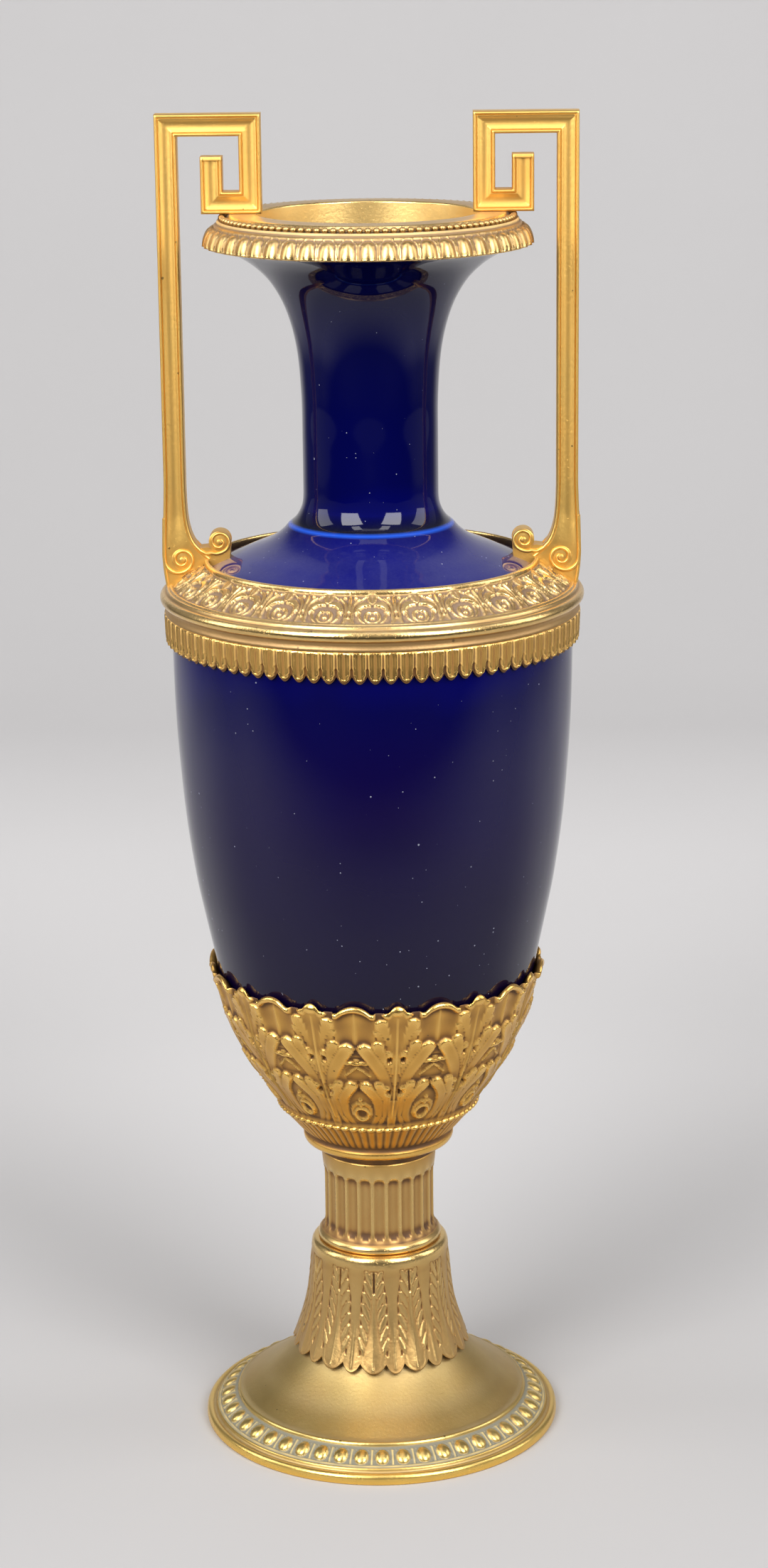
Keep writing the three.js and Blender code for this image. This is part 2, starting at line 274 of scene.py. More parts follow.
def cells(where, scale):
    """Round cells: the distance from each one's middle, and a chance value of its own."""
    made = add(where.id_data, "ShaderNodeTexVoronoi", {"Vector": where, "Scale": scale}).outputs
    chance = add(where.id_data, "ShaderNodeSeparateColor", {"Color": made["Color"]}).outputs[0]
    return made["Distance"], chance


def hollow_dirt_and_shade_group():
    """Dirt, and painted shade, in the carved hollows, broken up as it is where a duster reached."""
    group, given, here = open_group("Hollow dirt", Reach=1.0)
    # Partly dirt, partly painted shade in the hollows.
    uneven = maths("MULTIPLY_ADD", noise(here, 60.0, 4.0, 0.6), 1.3, 0.35)
    deep = times(attribute(group, "hollow"), uneven)
    return close_group(group, Mask=times(deep, given["Reach"], clamp=True))


def rubbed_edge_and_highlight_group():
    """Edges that dusting and handling have rubbed bright, lifted further as a painted highlight."""
    group, given, here = open_group("Rubbed edges and painted highlight", Amount=1.0)
    uneven = maths("MULTIPLY_ADD", noise(here, 45.0, 3.0, 0.6), 1.4, 0.2)
    return close_group(group, Mask=times(times(attribute(group, "crest"), uneven), given["Amount"], clamp=True))


def settled_dust_group():
    """A film of dust on what faces up, thicker in patches."""
    group, given, here = open_group("Settled dust", Amount=0.5, Steepness=1.5)
    up = axis(add(group, "ShaderNodeNewGeometry").outputs["Normal"], "Z")
    level = maths("POWER", maths("MAXIMUM", up, 0.0), given["Steepness"])
    cloudy = maths("MULTIPLY_ADD", noise(here, 28.0, 5.0, 0.65), 1.6, -0.15)
    grainy = maths("MULTIPLY_ADD", noise(here, 900.0, 1.0), 0.8, 0.6)
    return close_group(group, Mask=times(times(times(level, cloudy), grainy), given["Amount"], clamp=True))


def metal_skin_group():
    """Cloudy tarnish, fine casting grain, short scratches and a few dark flecks."""
    group, given, here = open_group("Metal skin", Grain=1.0, Scratches=1.0)
    drawn_out = {"Vector": here, "Rotation": (0.3, 0.5, 0.9), "Scale": (900, 60, 900)}
    lines = noise(add(group, "ShaderNodeMapping", drawn_out).outputs["Vector"], 1.0)
    scratches = times(maths("GREATER_THAN", lines, 0.68), given["Scratches"])
    height = maths("MULTIPLY_ADD", noise(here, 650.0, 3.0, 0.6), given["Grain"], times(scratches, -0.5))
    distance, chance = cells(here, 170.0)
    flecks = maths("LESS_THAN", distance, maths("MULTIPLY_ADD", chance, 0.5, -0.38))
    return close_group(group, Tarnish=noise(here, 22.0, 5.0, 0.62), Height=height, Flecks=flecks)


DIRT_AND_SHADE, RUBBED_AND_HIGHLIT, DUST, SKIN = hollow_dirt_and_shade_group(), rubbed_edge_and_highlight_group(), settled_dust_group(), metal_skin_group()
print("shader groups:", [g.name for g in (DIRT_AND_SHADE, RUBBED_AND_HIGHLIT, DUST, SKIN)])

# %% [markdown]
# ## Gilding
# Fire gilding is a thin bright skin over brass. It stays yellow where it is rubbed, goes red-brown in the hollows,
# where the burnisher never reached, and greys under dust. The red-brown and the dirt in the hollows are also painted
# shade, the brightness of rubbed crests is also a painted highlight, and the light lining of the mouth is painted
# light. One function lays the same coats in different measures.

# %% Gilt finishes
WORN = (0.80, 0.70, 0.60)  # what tarnish leaves of the gold
# The crests are lifted above the fresh gold: partly real rubbing, partly a painted highlight.
RUBBED_AND_HIGHLIGHT_GAIN, RUBBED_AND_HIGHLIGHT_LIFT = (1.28, 1.30, 1.30), (0.03, 0.04, 0.02)
# The lining colour is painted light, for light bounced round inside the mouth.
FLECK, DUST_ON_GILT, PAINTED_LIGHT_LINING = (0.09, 0.06, 0.03), (0.42, 0.37, 0.31), (0.98, 0.70, 0.27)


def mix(mask, under, over):
    under, over = [(*v, 1) if isinstance(v, tuple) else v for v in (under, over)]
    return add(mask.id_data, "ShaderNodeMix", {0: mask, 6: under, 7: over}, data_type="RGBA").outputs[2]


def group_node(tree, group, **values):
    return add(tree, "ShaderNodeGroup", values, node_tree=group).outputs


def gilding(name, gold, deep, dirt_and_shade, rough, reach, rub_and_highlight, dust, grain, scratches=0.6, painted_light_radius=0.0):
    """A gilt finish: its gold from each height up, the deep tone and the dirt_and_shade colour in the hollows, both
    partly painted shade, its roughness, how far the dark in the hollows, the rubbing and painted highlight, the dust,
    the grain and the scratches go, and the radius inside which the colour is painted light, as light bounced round
    inside the mouth."""
    material, tree, surface = new_material(name)
    skin = group_node(tree, SKIN, Grain=grain, Scratches=scratches)
    dirt_and_shade_mask = group_node(tree, DIRT_AND_SHADE, Reach=reach)["Mask"]
    edges = group_node(tree, RUBBED_AND_HIGHLIT, Amount=rub_and_highlight)["Mask"]
    dusty = group_node(tree, DUST, Amount=dust)["Mask"]
    here = place_on(tree)

    fresh = ramp(axis(here, "Z"), *gold)
    cloud = maths("MULTIPLY_ADD", skin["Tarnish"], 2.2, -0.75, clamp=True)
    colour = mix(cloud, fresh, vectors("MULTIPLY", fresh, WORN))
    # Partly painted shade: the hollows take the deep tone, then the dark colour of dirt and shade.
    colour = mix(times(attribute(tree, "hollow"), 0.8, clamp=True), colour, deep)
    colour = mix(dirt_and_shade_mask, colour, dirt_and_shade)
    # Partly real rubbing, partly a painted highlight: the crests are lifted above the fresh gold.
    colour = mix(edges, colour, vectors("MULTIPLY_ADD", fresh, RUBBED_AND_HIGHLIGHT_GAIN, RUBBED_AND_HIGHLIGHT_LIFT))
    colour = mix(times(skin["Flecks"], 0.7), colour, FLECK)
    colour = mix(dusty, colour, DUST_ON_GILT)
    radius = vectors("LENGTH", vectors("MULTIPLY", here, (1, 1, 0)), out="Value")
    # Painted light inside the mouth: the lining takes a light colour.
    painted_light_lining = maths("LESS_THAN", radius, painted_light_radius)
    tree.links.new(mix(painted_light_lining, colour, PAINTED_LIGHT_LINING), surface.inputs["Base Color"])

    # The lining's metal is also cut a little, so that its painted light shows as diffuse colour.
    dull = maths("MAXIMUM", maths("MAXIMUM", times(dirt_and_shade_mask, 0.85), dusty), times(painted_light_lining, 0.12))
    tree.links.new(maths("SUBTRACT", 1.0, dull, clamp=True), surface.inputs["Metallic"])
    roughness = maths("MULTIPLY_ADD", skin["Tarnish"], 0.22, rough - 0.11)
    roughness = maths("MULTIPLY_ADD", edges, -0.16, roughness)
    tree.links.new(maths("MULTIPLY_ADD", dull, 0.4, roughness, clamp=True), surface.inputs["Roughness"])
    bump = add(tree, "ShaderNodeBump", {"Height": skin["Height"], "Strength": 0.35, "Distance": 0.00025})
    tree.links.new(bump.outputs["Normal"], surface.inputs["Normal"])
    return material


GILT = {
    "gilt_foot": dict(
        gold=[(0.0, (0.86, 0.53, 0.11)), (0.0065, (0.60, 0.42, 0.13))], deep=(0.36, 0.31, 0.19),
        dirt_and_shade=(0.19, 0.18, 0.13), rough=0.38, reach=1.1, rub_and_highlight=0.7, dust=0.14, grain=0.8, scratches=1.0,
    ),
    "gilt_carved": dict(
        gold=[(0.126, (0.62, 0.41, 0.155)), (0.136, (0.70, 0.40, 0.09)), (0.30, (0.80, 0.48, 0.14))],
        deep=(0.42, 0.18, 0.03), dirt_and_shade=(0.09, 0.04, 0.012), rough=0.38, reach=0.9, rub_and_highlight=1.0, dust=0.08, grain=1.0,
    ),
    "gilt_ring": dict(
        gold=[(0.0, (0.62, 0.40, 0.15))], deep=(0.42, 0.25, 0.11), dirt_and_shade=(0.16, 0.09, 0.045),
        rough=0.36, reach=1.0, rub_and_highlight=1.0, dust=0.38, grain=1.0, painted_light_radius=47.7 * MM,
    ),
    "gilt_handle": dict(
        gold=[(0.0, (0.94, 0.60, 0.165))], deep=(0.55, 0.30, 0.06), dirt_and_shade=(0.22, 0.13, 0.06),
        rough=0.42, reach=0.9, rub_and_highlight=0.6, dust=0.10, grain=0.7,
    ),
}
FINISHES = {name: gilding(name, **coats) for name, coats in GILT.items()}
print("finishes:", list(FINISHES))

# %% [markdown]
# ## Cobalt glaze
# The porcelain wears one thick coat of cobalt glaze. It runs thin, and so bright blue, where the neck meets the
# shoulder, pools almost black just above that, and is a deep blue round the shoulder that darkens downwards and up the
# neck. Over it lie a mirror gloss and a scatter of white dust specks.

# %% Glaze
NECK_STEP = 423.2 * MM  # height where the glaze is thinnest
THIN_REACH, POOL_START, POOL_REACH = 1.1 * MM, 0.6 * MM, 7.0 * MM  # up and down from the step, and above it
RAMP_HEIGHT = 0.6  # metres that the ramp's places are shares of
# Colour by height only: darker towards the bottom, lightest blue round the shoulder, darker again up the neck.
GLAZE_TONES_BY_HEIGHT = (
    (0.36, (0.0025, 0.0010, 0.014)), (0.50, (0.0035, 0.0010, 0.032)), (0.60, (0.0012, 0.0010, 0.044)),
    (0.69, (0.0006, 0.0014, 0.120)), (0.74, (0.0006, 0.0010, 0.046)), (0.92, (0.0006, 0.0010, 0.026)),
)
POOLED, THIN, SPECK = (0.0004, 0.0004, 0.004), (0.01, 0.09, 0.62), (0.34, 0.36, 0.44)
SPECKS = ((250.0, 0.925), (520.0, 0.905))  # cells in a metre, and the chance value that a speck starts from
GLAZE_IOR = 1.40


def cobalt_glaze():
    material, tree, surface = new_material("cobalt_glaze")
    here = place_on(tree)
    height = axis(here, "Z")
    cloudy = maths("MULTIPLY_ADD", noise(here, 9.0, 3.0), 0.10, maths("SUBTRACT", height, 0.05))
    # The colour is set by height alone.
    depth = ramp(maths("DIVIDE", cloudy, RAMP_HEIGHT, clamp=True), *GLAZE_TONES_BY_HEIGHT)
    away = maths("ABSOLUTE", maths("SUBTRACT", height, NECK_STEP))
    thin = maths("SUBTRACT", 1.0, maths("DIVIDE", away, THIN_REACH), clamp=True)
    above = maths("SUBTRACT", height, NECK_STEP + POOL_START)
    fading = maths("SUBTRACT", 1.0, maths("DIVIDE", above, POOL_REACH), clamp=True)
    pooled = times(maths("GREATER_THAN", above, 0.0), fading)
    colour = mix(maths("POWER", pooled, 0.6), depth, POOLED)
    colour = mix(times(thin, 0.8), colour, THIN)

    gathered = maths("MULTIPLY_ADD", noise(here, 14.0, 3.0), 0.18, -0.09)
    specks = 0.0
    for scale, rarest in SPECKS:
        distance, chance = cells(here, scale)
        size = times(maths("SUBTRACT", maths("ADD", chance, gathered), rarest), 1.6)
        specks = maths("MAXIMUM", specks, maths("LESS_THAN", distance, size))
    film = group_node(tree, DUST, Amount=0.08, Steepness=3.0)["Mask"]
    dusty = maths("MAXIMUM", times(specks, 0.6), film)
    tree.links.new(mix(dusty, colour, SPECK), surface.inputs["Base Color"])
    tree.links.new(maths("MULTIPLY_ADD", specks, 0.4, 0.05, clamp=True), surface.inputs["Roughness"])
    ripple = add(tree, "ShaderNodeBump", {"Height": noise(here, 26.0), "Strength": 0.12, "Distance": 0.0008})
    tree.links.new(ripple.outputs["Normal"], surface.inputs["Normal"])
    surface.inputs["IOR"].default_value = GLAZE_IOR
    return material


FINISHES["cobalt_glaze"] = cobalt_glaze()
print("glaze made:", FINISHES["cobalt_glaze"].name)

# %% [markdown]
# ## Turned and carved rings
# Every round piece repeats one motif a whole number of times. So only one repeat is made: a narrow gore of mesh that
# follows the piece's profile from its top edge down the outside, and back up the inside, with the carving pushed out
# or in along the profile's normal. Geometry Nodes then sets the gores round the axis and welds them.


# %% Profiles
CURVE_STEPS = 24  # straight pieces that a smooth curve has between two of its points


def lengths(points):
    """How far along a profile each of its points lies."""
    return np.r_[0, np.cumsum(np.hypot(*np.diff(points, axis=0).T))]


def run(points, rows):
    """A smooth curve through the points (radius, height), cut into rows of equal length."""
    points = np.array(points, float)
    if len(points) > 2:
        padded = np.vstack([2 * points[0] - points[1], points, 2 * points[-1] - points[-2]])
        t = np.linspace(0, 1, CURVE_STEPS, endpoint=False)[:, None]
        dense = []
        for a, b, c, d in zip(padded, padded[1:], padded[2:], padded[3:]):
            square, cube = (2 * a - 5 * b + 4 * c - d) * t**2, (3 * b - a - 3 * c + d) * t**3
            dense.append(0.5 * (2 * b + (c - a) * t + square + cube))
        points = np.vstack(dense + [points[-1:]])
    along = lengths(points)
    even = np.linspace(0, along[-1], rows + 1)
    return np.column_stack([np.interp(even, along, points[:, k]) for k in (0, 1)])


def joined(*runs):
    """Runs joined end to end, each beginning where the last one stopped."""
    return np.vstack([runs[0]] + [r[1:] for r in runs[1:]])


def contour(start, *legs):
    """A profile from its start on in smooth legs, and the distance down it where each leg begins and the last ends.

    A leg is its number of rows and the points that it runs through.
    """
    runs = []
    for rows, *points in legs:
        runs.append(run([start, *points], rows))
        start = points[-1]
    whole = joined(*runs)
    return whole, lengths(whole)[np.cumsum([0] + [rows for rows, *_ in legs])]


# %% One gore
def soften(field, across, along):
    """A field averaged over neighbours: periodic across the gore, held at its ends along the profile."""
    body = field[:, :-1]
    for _ in range(3):
        if across:
            body = sum(np.roll(body, k, axis=1) for k in range(-across, across + 1)) / (2 * across + 1)
        padded = np.pad(body, ((along, along), (0, 0)), mode="edge")
        body = sum(padded[k : k + len(body)] for k in range(2 * along + 1)) / (2 * along + 1)
    return np.column_stack([body, body[:, :1]])


def gore(name, copies, outer, inner=None, columns=1, spread=50.0, relief=None, top=None, bottom=None, reach=30.0,
         depth=0.5, blur=3, band=None, added_dirt_and_shade=None):
    """One repeat of a round piece as a mesh, its middle towards the front.

    outer and inner are profiles in millimetres; relief(x, s) is the carving's height, where x is the distance across
    the gore at the radius spread and s the distance down the outer profile. top(x) and bottom(x) cut the edges back.
    Outside the carved band, a pair of distances, the mouldings take little of the hollow darkening, which is partly
    painted shade; the last argument, a function of x and s, adds some at given places.
    """
    angle = np.linspace(-math.pi / copies, math.pi / copies, columns + 1)
    x = angle * spread

    def trimmed(points, first, last):
        s = lengths(points)
        shift = np.zeros((len(s), len(x)))
        if first is not None:
            shift += first(x)[None, :] * np.clip(1 - s / reach, 0, 1)[:, None]
        if last is not None:
            shift -= last(x)[None, :] * np.clip(1 - (s[-1] - s) / reach, 0, 1)[:, None]
        at = s[:, None] + shift
        return at, np.interp(at, s, points[:, 0]), np.interp(at, s, points[:, 1]), s

    at, radius, height, s = trimmed(outer, top, bottom)
    slope = np.gradient(outer, s, axis=0)
    slope /= np.maximum(np.hypot(*slope.T), 1e-9)[:, None]
    out_r, out_z = np.interp(at, s, -slope[:, 1]), np.interp(at, s, slope[:, 0])
    if relief is not None:
        carved = relief(np.broadcast_to(x, at.shape), at)
        radius, height = radius + carved * out_r, height + carved * out_z
    wide = min(blur, columns // 4)
    proud = (radius - soften(radius, wide, blur)) * out_r + (height - soften(height, wide, blur)) * out_z
    hollow, crest = np.clip(-proud / depth, 0, 1), np.clip(proud / depth, 0, 1)
    # Hollow darkening, partly painted shade: cut to three tenths outside the band, raised where the added function
    # says.
    if band is not None:
        hollow = np.where((at > band[0]) & (at < band[1]), hollow, 0.3 * hollow)
    if added_dirt_and_shade is not None:
        hollow = np.maximum(hollow, added_dirt_and_shade(np.broadcast_to(x, at.shape), at))
    if inner is not None:
        _, inner_radius, inner_height, _ = trimmed(inner, bottom, top)
        radius, height = np.vstack([radius, inner_radius]), np.vstack([height, inner_height])
        none = np.zeros_like(inner_radius)
        hollow, crest = np.vstack([hollow, none]), np.vstack([crest, none])

    rows, wide = radius.shape
    points = np.stack([radius * np.sin(angle), -radius * np.cos(angle), height], axis=-1) * MM
    last = rows if inner is not None else rows - 1
    i, j = np.meshgrid(np.arange(last), np.arange(wide - 1), indexing="ij")
    below = (i + 1) % rows
    faces = np.stack([i * wide + j, below * wide + j, below * wide + j + 1, i * wide + j + 1], axis=-1).reshape(-1, 4)
    mesh = bpy.data.meshes.new(name)
    mesh.from_pydata(points.reshape(-1, 3).tolist(), [], faces.tolist())
    for label, field in (("hollow", hollow), ("crest", crest)):
        mesh.attributes.new(label, "FLOAT", "POINT").data.foreach_set("value", field.ravel().astype(np.float32))
    return mesh


# %% Geometry Nodes: repeat round the axis
def repeat_tree():
    """Sets a gore round the axis, welds the seams and gives the casting a slight unevenness."""
    tree = bpy.data.node_groups.new("Repeat round the axis", "GeometryNodeTree")
    new = tree.interface.new_socket
    new("Gore", in_out="INPUT", socket_type="NodeSocketGeometry")
    for label, kind, value in (
        ("Copies", "NodeSocketInt", 12), ("Start", "NodeSocketFloat", 0.0), ("Weld", "NodeSocketFloat", 0.00002),
        ("Unevenness", "NodeSocketFloat", 0.0), ("Unevenness scale", "NodeSocketFloat", 70.0),
        ("Seed", "NodeSocketFloat", 0.0),
    ):
        new(label, in_out="INPUT", socket_type=kind).default_value = value
    new("Finish", in_out="INPUT", socket_type="NodeSocketMaterial")
    new("Ring", in_out="OUTPUT", socket_type="NodeSocketGeometry")
    given = add(tree, "NodeGroupInput").outputs
    index = add(tree, "GeometryNodeInputIndex").outputs["Index"]
    step = maths("DIVIDE", 2 * math.pi, given["Copies"])
    angle = maths("MULTIPLY_ADD", index, step, given["Start"])
    turned = add(tree, "ShaderNodeCombineXYZ", {"Z": angle}).outputs[0]
    places = add(tree, "GeometryNodePoints", {"Count": given["Copies"]}).outputs[0]
    set_round = {"Points": places, "Instance": given["Gore"], "Rotation": turned}
    copies = add(tree, "GeometryNodeInstanceOnPoints", set_round).outputs[0]
    whole = add(tree, "GeometryNodeRealizeInstances", {"Geometry": copies}).outputs[0]
    welded = add(tree, "GeometryNodeMergeByDistance", {"Geometry": whole, "Distance": given["Weld"]}).outputs[0]
    bumps = add(
        tree, "ShaderNodeTexNoise",
        {"W": given["Seed"], "Scale": given["Unevenness scale"], "Detail": 2.0}, noise_dimensions="4D",
    )
    amount = maths("MULTIPLY", maths("SUBTRACT", bumps.outputs["Fac"], 0.5), given["Unevenness"])
    normal = add(tree, "GeometryNodeInputNormal").outputs[0]
    push = add(tree, "ShaderNodeVectorMath", {0: normal, "Scale": amount}, operation="SCALE").outputs[0]
    uneven = add(tree, "GeometryNodeSetPosition", {"Geometry": welded, "Offset": push}).outputs[0]
    smooth = add(tree, "GeometryNodeSetShadeSmooth", {"Geometry": uneven}).outputs[0]
    done = add(tree, "GeometryNodeSetMaterial", {"Geometry": smooth, "Material": given["Finish"]})
    tree.links.new(done.outputs[0], add(tree, "NodeGroupOutput").inputs[0])
    return tree


ROUND_THE_AXIS = repeat_tree()


# %% From a tree to a plain piece
def through_tree(name, mesh, tree, **inputs):
    """The mesh that a Geometry Nodes tree makes of another one, as a new object at the origin."""
    source = placed(name + "_source", mesh)
    modifier = source.modifiers.new("make", "NODES")
    modifier.node_group = tree
    for socket in tree.interface.items_tree:
        if socket.in_out == "INPUT" and socket.name.replace(" ", "_") in inputs:
            modifier[socket.identifier] = inputs[socket.name.replace(" ", "_")]
    graph = bpy.context.evaluated_depsgraph_get()
    made = bpy.data.meshes.new_from_object(source.evaluated_get(graph), preserve_all_data_layers=True, depsgraph=graph)
    source.modifiers.remove(modifier)
    bpy.data.objects.remove(source)
    made.name = name
    return placed(name, made)


def mounted(piece, slot, *nodes):
    """The piece rides with the vase and stands for its solids, which are hidden; slot is not used."""
    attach(piece, "root")
    if nodes:
        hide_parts(*nodes)
    triangles = sum(len(p.vertices) - 2 for p in piece.data.polygons)
    print(f"{piece.name}: {triangles} triangles")
    return piece


def round_piece(name, slot, node, copies, mesh, start=0, uneven=0.0, scale=70.0):
    """A gore repeated into a ring, its start in degrees from the picture's middle, its unevenness in millimetres."""
    piece = through_tree(
        name, mesh, ROUND_THE_AXIS, Copies=copies, Start=math.radians(start + FRONT), Unevenness=uneven * MM,
        Unevenness_scale=scale, Seed=float(copies), Finish=FINISHES[slot],
    )
    return mounted(piece, slot, *([node] if node else []))


# %% [markdown]
# ## Strokes
# A carver's marks are strokes: a leaf's lobe is a broad one with a rounded tip, a vein or a scroll a thin one. A stroke
# says how far a place is from a tapered path, in half-widths, and how far along it that is. What it raises there is its
# section: a dome, or a flat with crisp sides. Later strokes lie over earlier ones, or only add to them.


# %% Stroke helpers
FAR_OFF = 99.0  # half-widths, outside every stroke


def traced(x, y, path, widths):
    """Distance from a tapered path, 1 at its edge, and the place along it from 0 to 1."""
    path = np.array(path, float)
    widths = np.broadcast_to(np.array(widths, float), len(path))
    nearest, along = np.full(x.shape, FAR_OFF), np.zeros(x.shape)
    for i, (a, b) in enumerate(zip(path, path[1:])):
        ab = b - a
        t = np.clip(((x - a[0]) * ab[0] + (y - a[1]) * ab[1]) / (ab @ ab), 0, 1)
        q = np.hypot(x - a[0] - t * ab[0], y - a[1] - t * ab[1]) / (widths[i] + t * (widths[i + 1] - widths[i]))
        closer = q < nearest
        nearest, along = np.where(closer, q, nearest), np.where(closer, (i + t) / (len(path) - 1), along)
    return nearest, along


def stroke(x, y, path, widths):
    """The distance alone."""
    return traced(x, y, path, widths)[0]


def curve(*points, steps=8):
    """A smooth path through a few points."""
    return run(points, steps)


def dome(q):
    return np.clip(1 - q * q, 0, 1) ** 0.7


def plateau(q, side=0.25):
    return np.clip((1 - q) / side, 0, 1) ** 0.5


def lay(ground, q, height):
    """A stroke laid over what is there."""
    return np.where(q < 1, height, ground)


def carve(ground, q, height):
    """A stroke that only adds to what is there."""
    return np.where(q < 1, np.maximum(ground, height), ground)


def domed(ground, q, low, rise, way=carve):
    """A stroke with a domed section that rises from low, carved or laid."""
    return way(ground, q, low + rise * dome(q))


def oval(x, y, centre, radii):
    return np.hypot((x - centre[0]) / radii[0], (y - centre[1]) / radii[1])


print("a dome at its middle, halfway and at its edge:", dome(np.array([0.0, 0.5, 1.0])).round(2))

# %% [markdown]
# ## Porcelain body
# Thrown and turned, with a trumpet neck and true walls. The shoulder is hollowed and rises steeply to a sharp little
# step at the neck. It is a plain shape of revolution, so its gore is one column wide and 160 of them make it round.

# %% Vessel
body_outside = contour(
    (0.5, 147.6), (3, (30.2, 147.6)),
    (60, (40.2, 157.9), (51.5, 173.9), (61.1, 190.5), (71.1, 218), (73.2, 228), (77.4, 248), (80.5, 264),
     (83.9, 288), (86.1, 312), (87.6, 336), (88.3, 362), (88.3, 378), (87.6, 388)),
    (40, (84.4, 394.0), (71.0, 404.0), (58, 409.8), (48, 413.9), (43, 416.6), (39.2, 419.6), (36.2, 422.9)),
    (1, (35.4, 423.5)), (12, (33.6, 425.0), (31.6, 427.8), (30.2, 431.2), (29.7, 434.5), (29.6, 437)),
    (40, (29.6, 460), (29.8, 480), (31.5, 500), (35.6, 516), (41.9, 528), (49.7, 536), (58.5, 541.5),
     (64.2, 543.8)), (4, (64.9, 544.8), (64.6, 546)),
)[0]
body_inside = contour(
    (64.6, 546), (1, (53.5, 546)), (20, (50.3, 541.5), (40.5, 533.5), (30.6, 516), (25.2, 488), (24.5, 436)),
    (10, (30, 419), (66, 401), (81, 389)), (24, (83, 362), (81, 312), (68.0, 224), (52, 184), (34, 162), (0.5, 155)),
)[0]
whole_body = joined(body_outside, body_inside)[::-1]
BODY_GORES = 160
round_piece("porcelain_body", "cobalt_glaze", "vessel", BODY_GORES, gore("vessel_gore", BODY_GORES, whole_body))

# %% [markdown]
# ## Foot
# A cast and turned trumpet with a ring of eggs between two mouldings. Each egg is a dome on a sloping bed, with a
# dart between neighbours, and the bottom edge is a plain rounded fillet that has been kept bright.

# %% Foot
EGGS = 48
EGG_SPREAD = 72
foot_outer, foot_at = contour(
    (33.4, 44), (20, (34.2, 40), (38.4, 35), (44.4, 29), (52.8, 22), (61.9, 16), (65.6, 13.7)),
    (4, (66.2, 13.7), (66.9, 13.2), (67.2, 12.3)), (3, (67.6, 11.4), (68.4, 11.2)), (15, (75.2, 6.6)),
    (3, (75.6, 6.9), (76.1, 6.7), (76.4, 6.1)), (3, (76.8, 6.2), (77.2, 5.8), (77.4, 5.1)),
    (3, (77.8, 4.3), (78.8, 4.3)), (9, (79.6, 4.9), (80.8, 4.6), (81.6, 3.6), (81.8, 2.2), (81.8, 0.8), (81.3, 0)),
)
foot_inner = contour(
    (78, 0), (10, (65, 9), (50, 20), (37.5, 30), (30, 38.2), (24, 40.5)), (1, (24, 44)),
)[0]
bed_start, bed_end = foot_at[3:5]
bed_middle = (bed_start + bed_end) / 2


def egg_shape(x, s):
    return oval(x, s, (0, bed_middle), (3.35, 4.05))


def eggs(x, s):
    """Eggs and darts on the sloping bed."""
    half_pitch = math.pi / EGGS * EGG_SPREAD
    egg = egg_shape(x, s)
    shell = oval(x, s, (0, bed_middle), (4.15, 4.8))
    dart = stroke(np.abs(x), s, [(half_pitch, bed_start + 0.6), (half_pitch, bed_end - 0.4)], [0.7, 0.35])
    height = np.full(x.shape, -0.5)
    height = domed(height, np.abs(shell - 1) / 0.12, 0, 0.35)
    height = domed(height, dart, 0, 0.7)
    inside = (s > bed_start) & (s < bed_end)
    return np.where(inside, carve(height, egg, 1.65 * np.clip(1 - egg**2.4, 0, 1) ** 0.6), 0)


# Dirt and painted shade: the sunk bed round the eggs is darkened as a hollow.
def egg_bed_dirt_and_shade(x, s):
    return np.where((s > bed_start - 1.6) & (s < bed_end + 1.8) & (egg_shape(x, s) > 1), 0.9, 0)


round_piece(
    "trumpet_foot", "gilt_foot", "foot", EGGS,
    gore("foot_gore", EGGS, foot_outer, foot_inner, columns=16, spread=EGG_SPREAD, relief=eggs, depth=0.35, blur=2,
         band=(bed_start - 1, bed_end + 1), added_dirt_and_shade=egg_bed_dirt_and_shade),
    uneven=0.10,
)

# %% [markdown]
# ## Cuff of hanging leaves
# Twelve broad leaves hang over the top of the foot from a plain rounded lip. Each has a slit at its top, a row of
# leaflets down each side and a keeled wedge between the rows; a narrow smooth blade fills every gap. The tips stand
# clear of the foot.

# %% Leaf cuff
CUFF_LEAVES, CUFF_START, CUFF_SPREAD = 12, -5.4, 35.2
CUFF_TIP = 5.4  # half-width where a broad leaf's point ends
CUFF_HALF = math.pi / CUFF_LEAVES * CUFF_SPREAD
LEAFLETS = 7  # on each side of a leaf
cuff_outer = contour(
    (28.8, 88), (9, (29.7, 87.8), (30.6, 87.1), (31.3, 85.7), (31.8, 82.6)),
    (96, (32.3, 76), (32.8, 70), (33.5, 63), (34.7, 56), (36.9, 48), (39.6, 40), (41.5, 35.4)),
)[0]
cuff_inner = contour(
    (40.3, 35.4), (4, (35.4, 43.4), (34.9, 44.3)), (1, (22, 44.3)), (2, (21, 88)),
)[0]


def cuff_tips(x):
    """How far the lower edge is cut back: rounded points at the broad and the narrow leaves."""
    across = np.abs(x)
    broad = across / CUFF_TIP
    narrow = (CUFF_HALF - across) / (CUFF_HALF - CUFF_TIP)
    return 4.4 * np.minimum(broad, narrow).clip(0, 1) ** 2.2


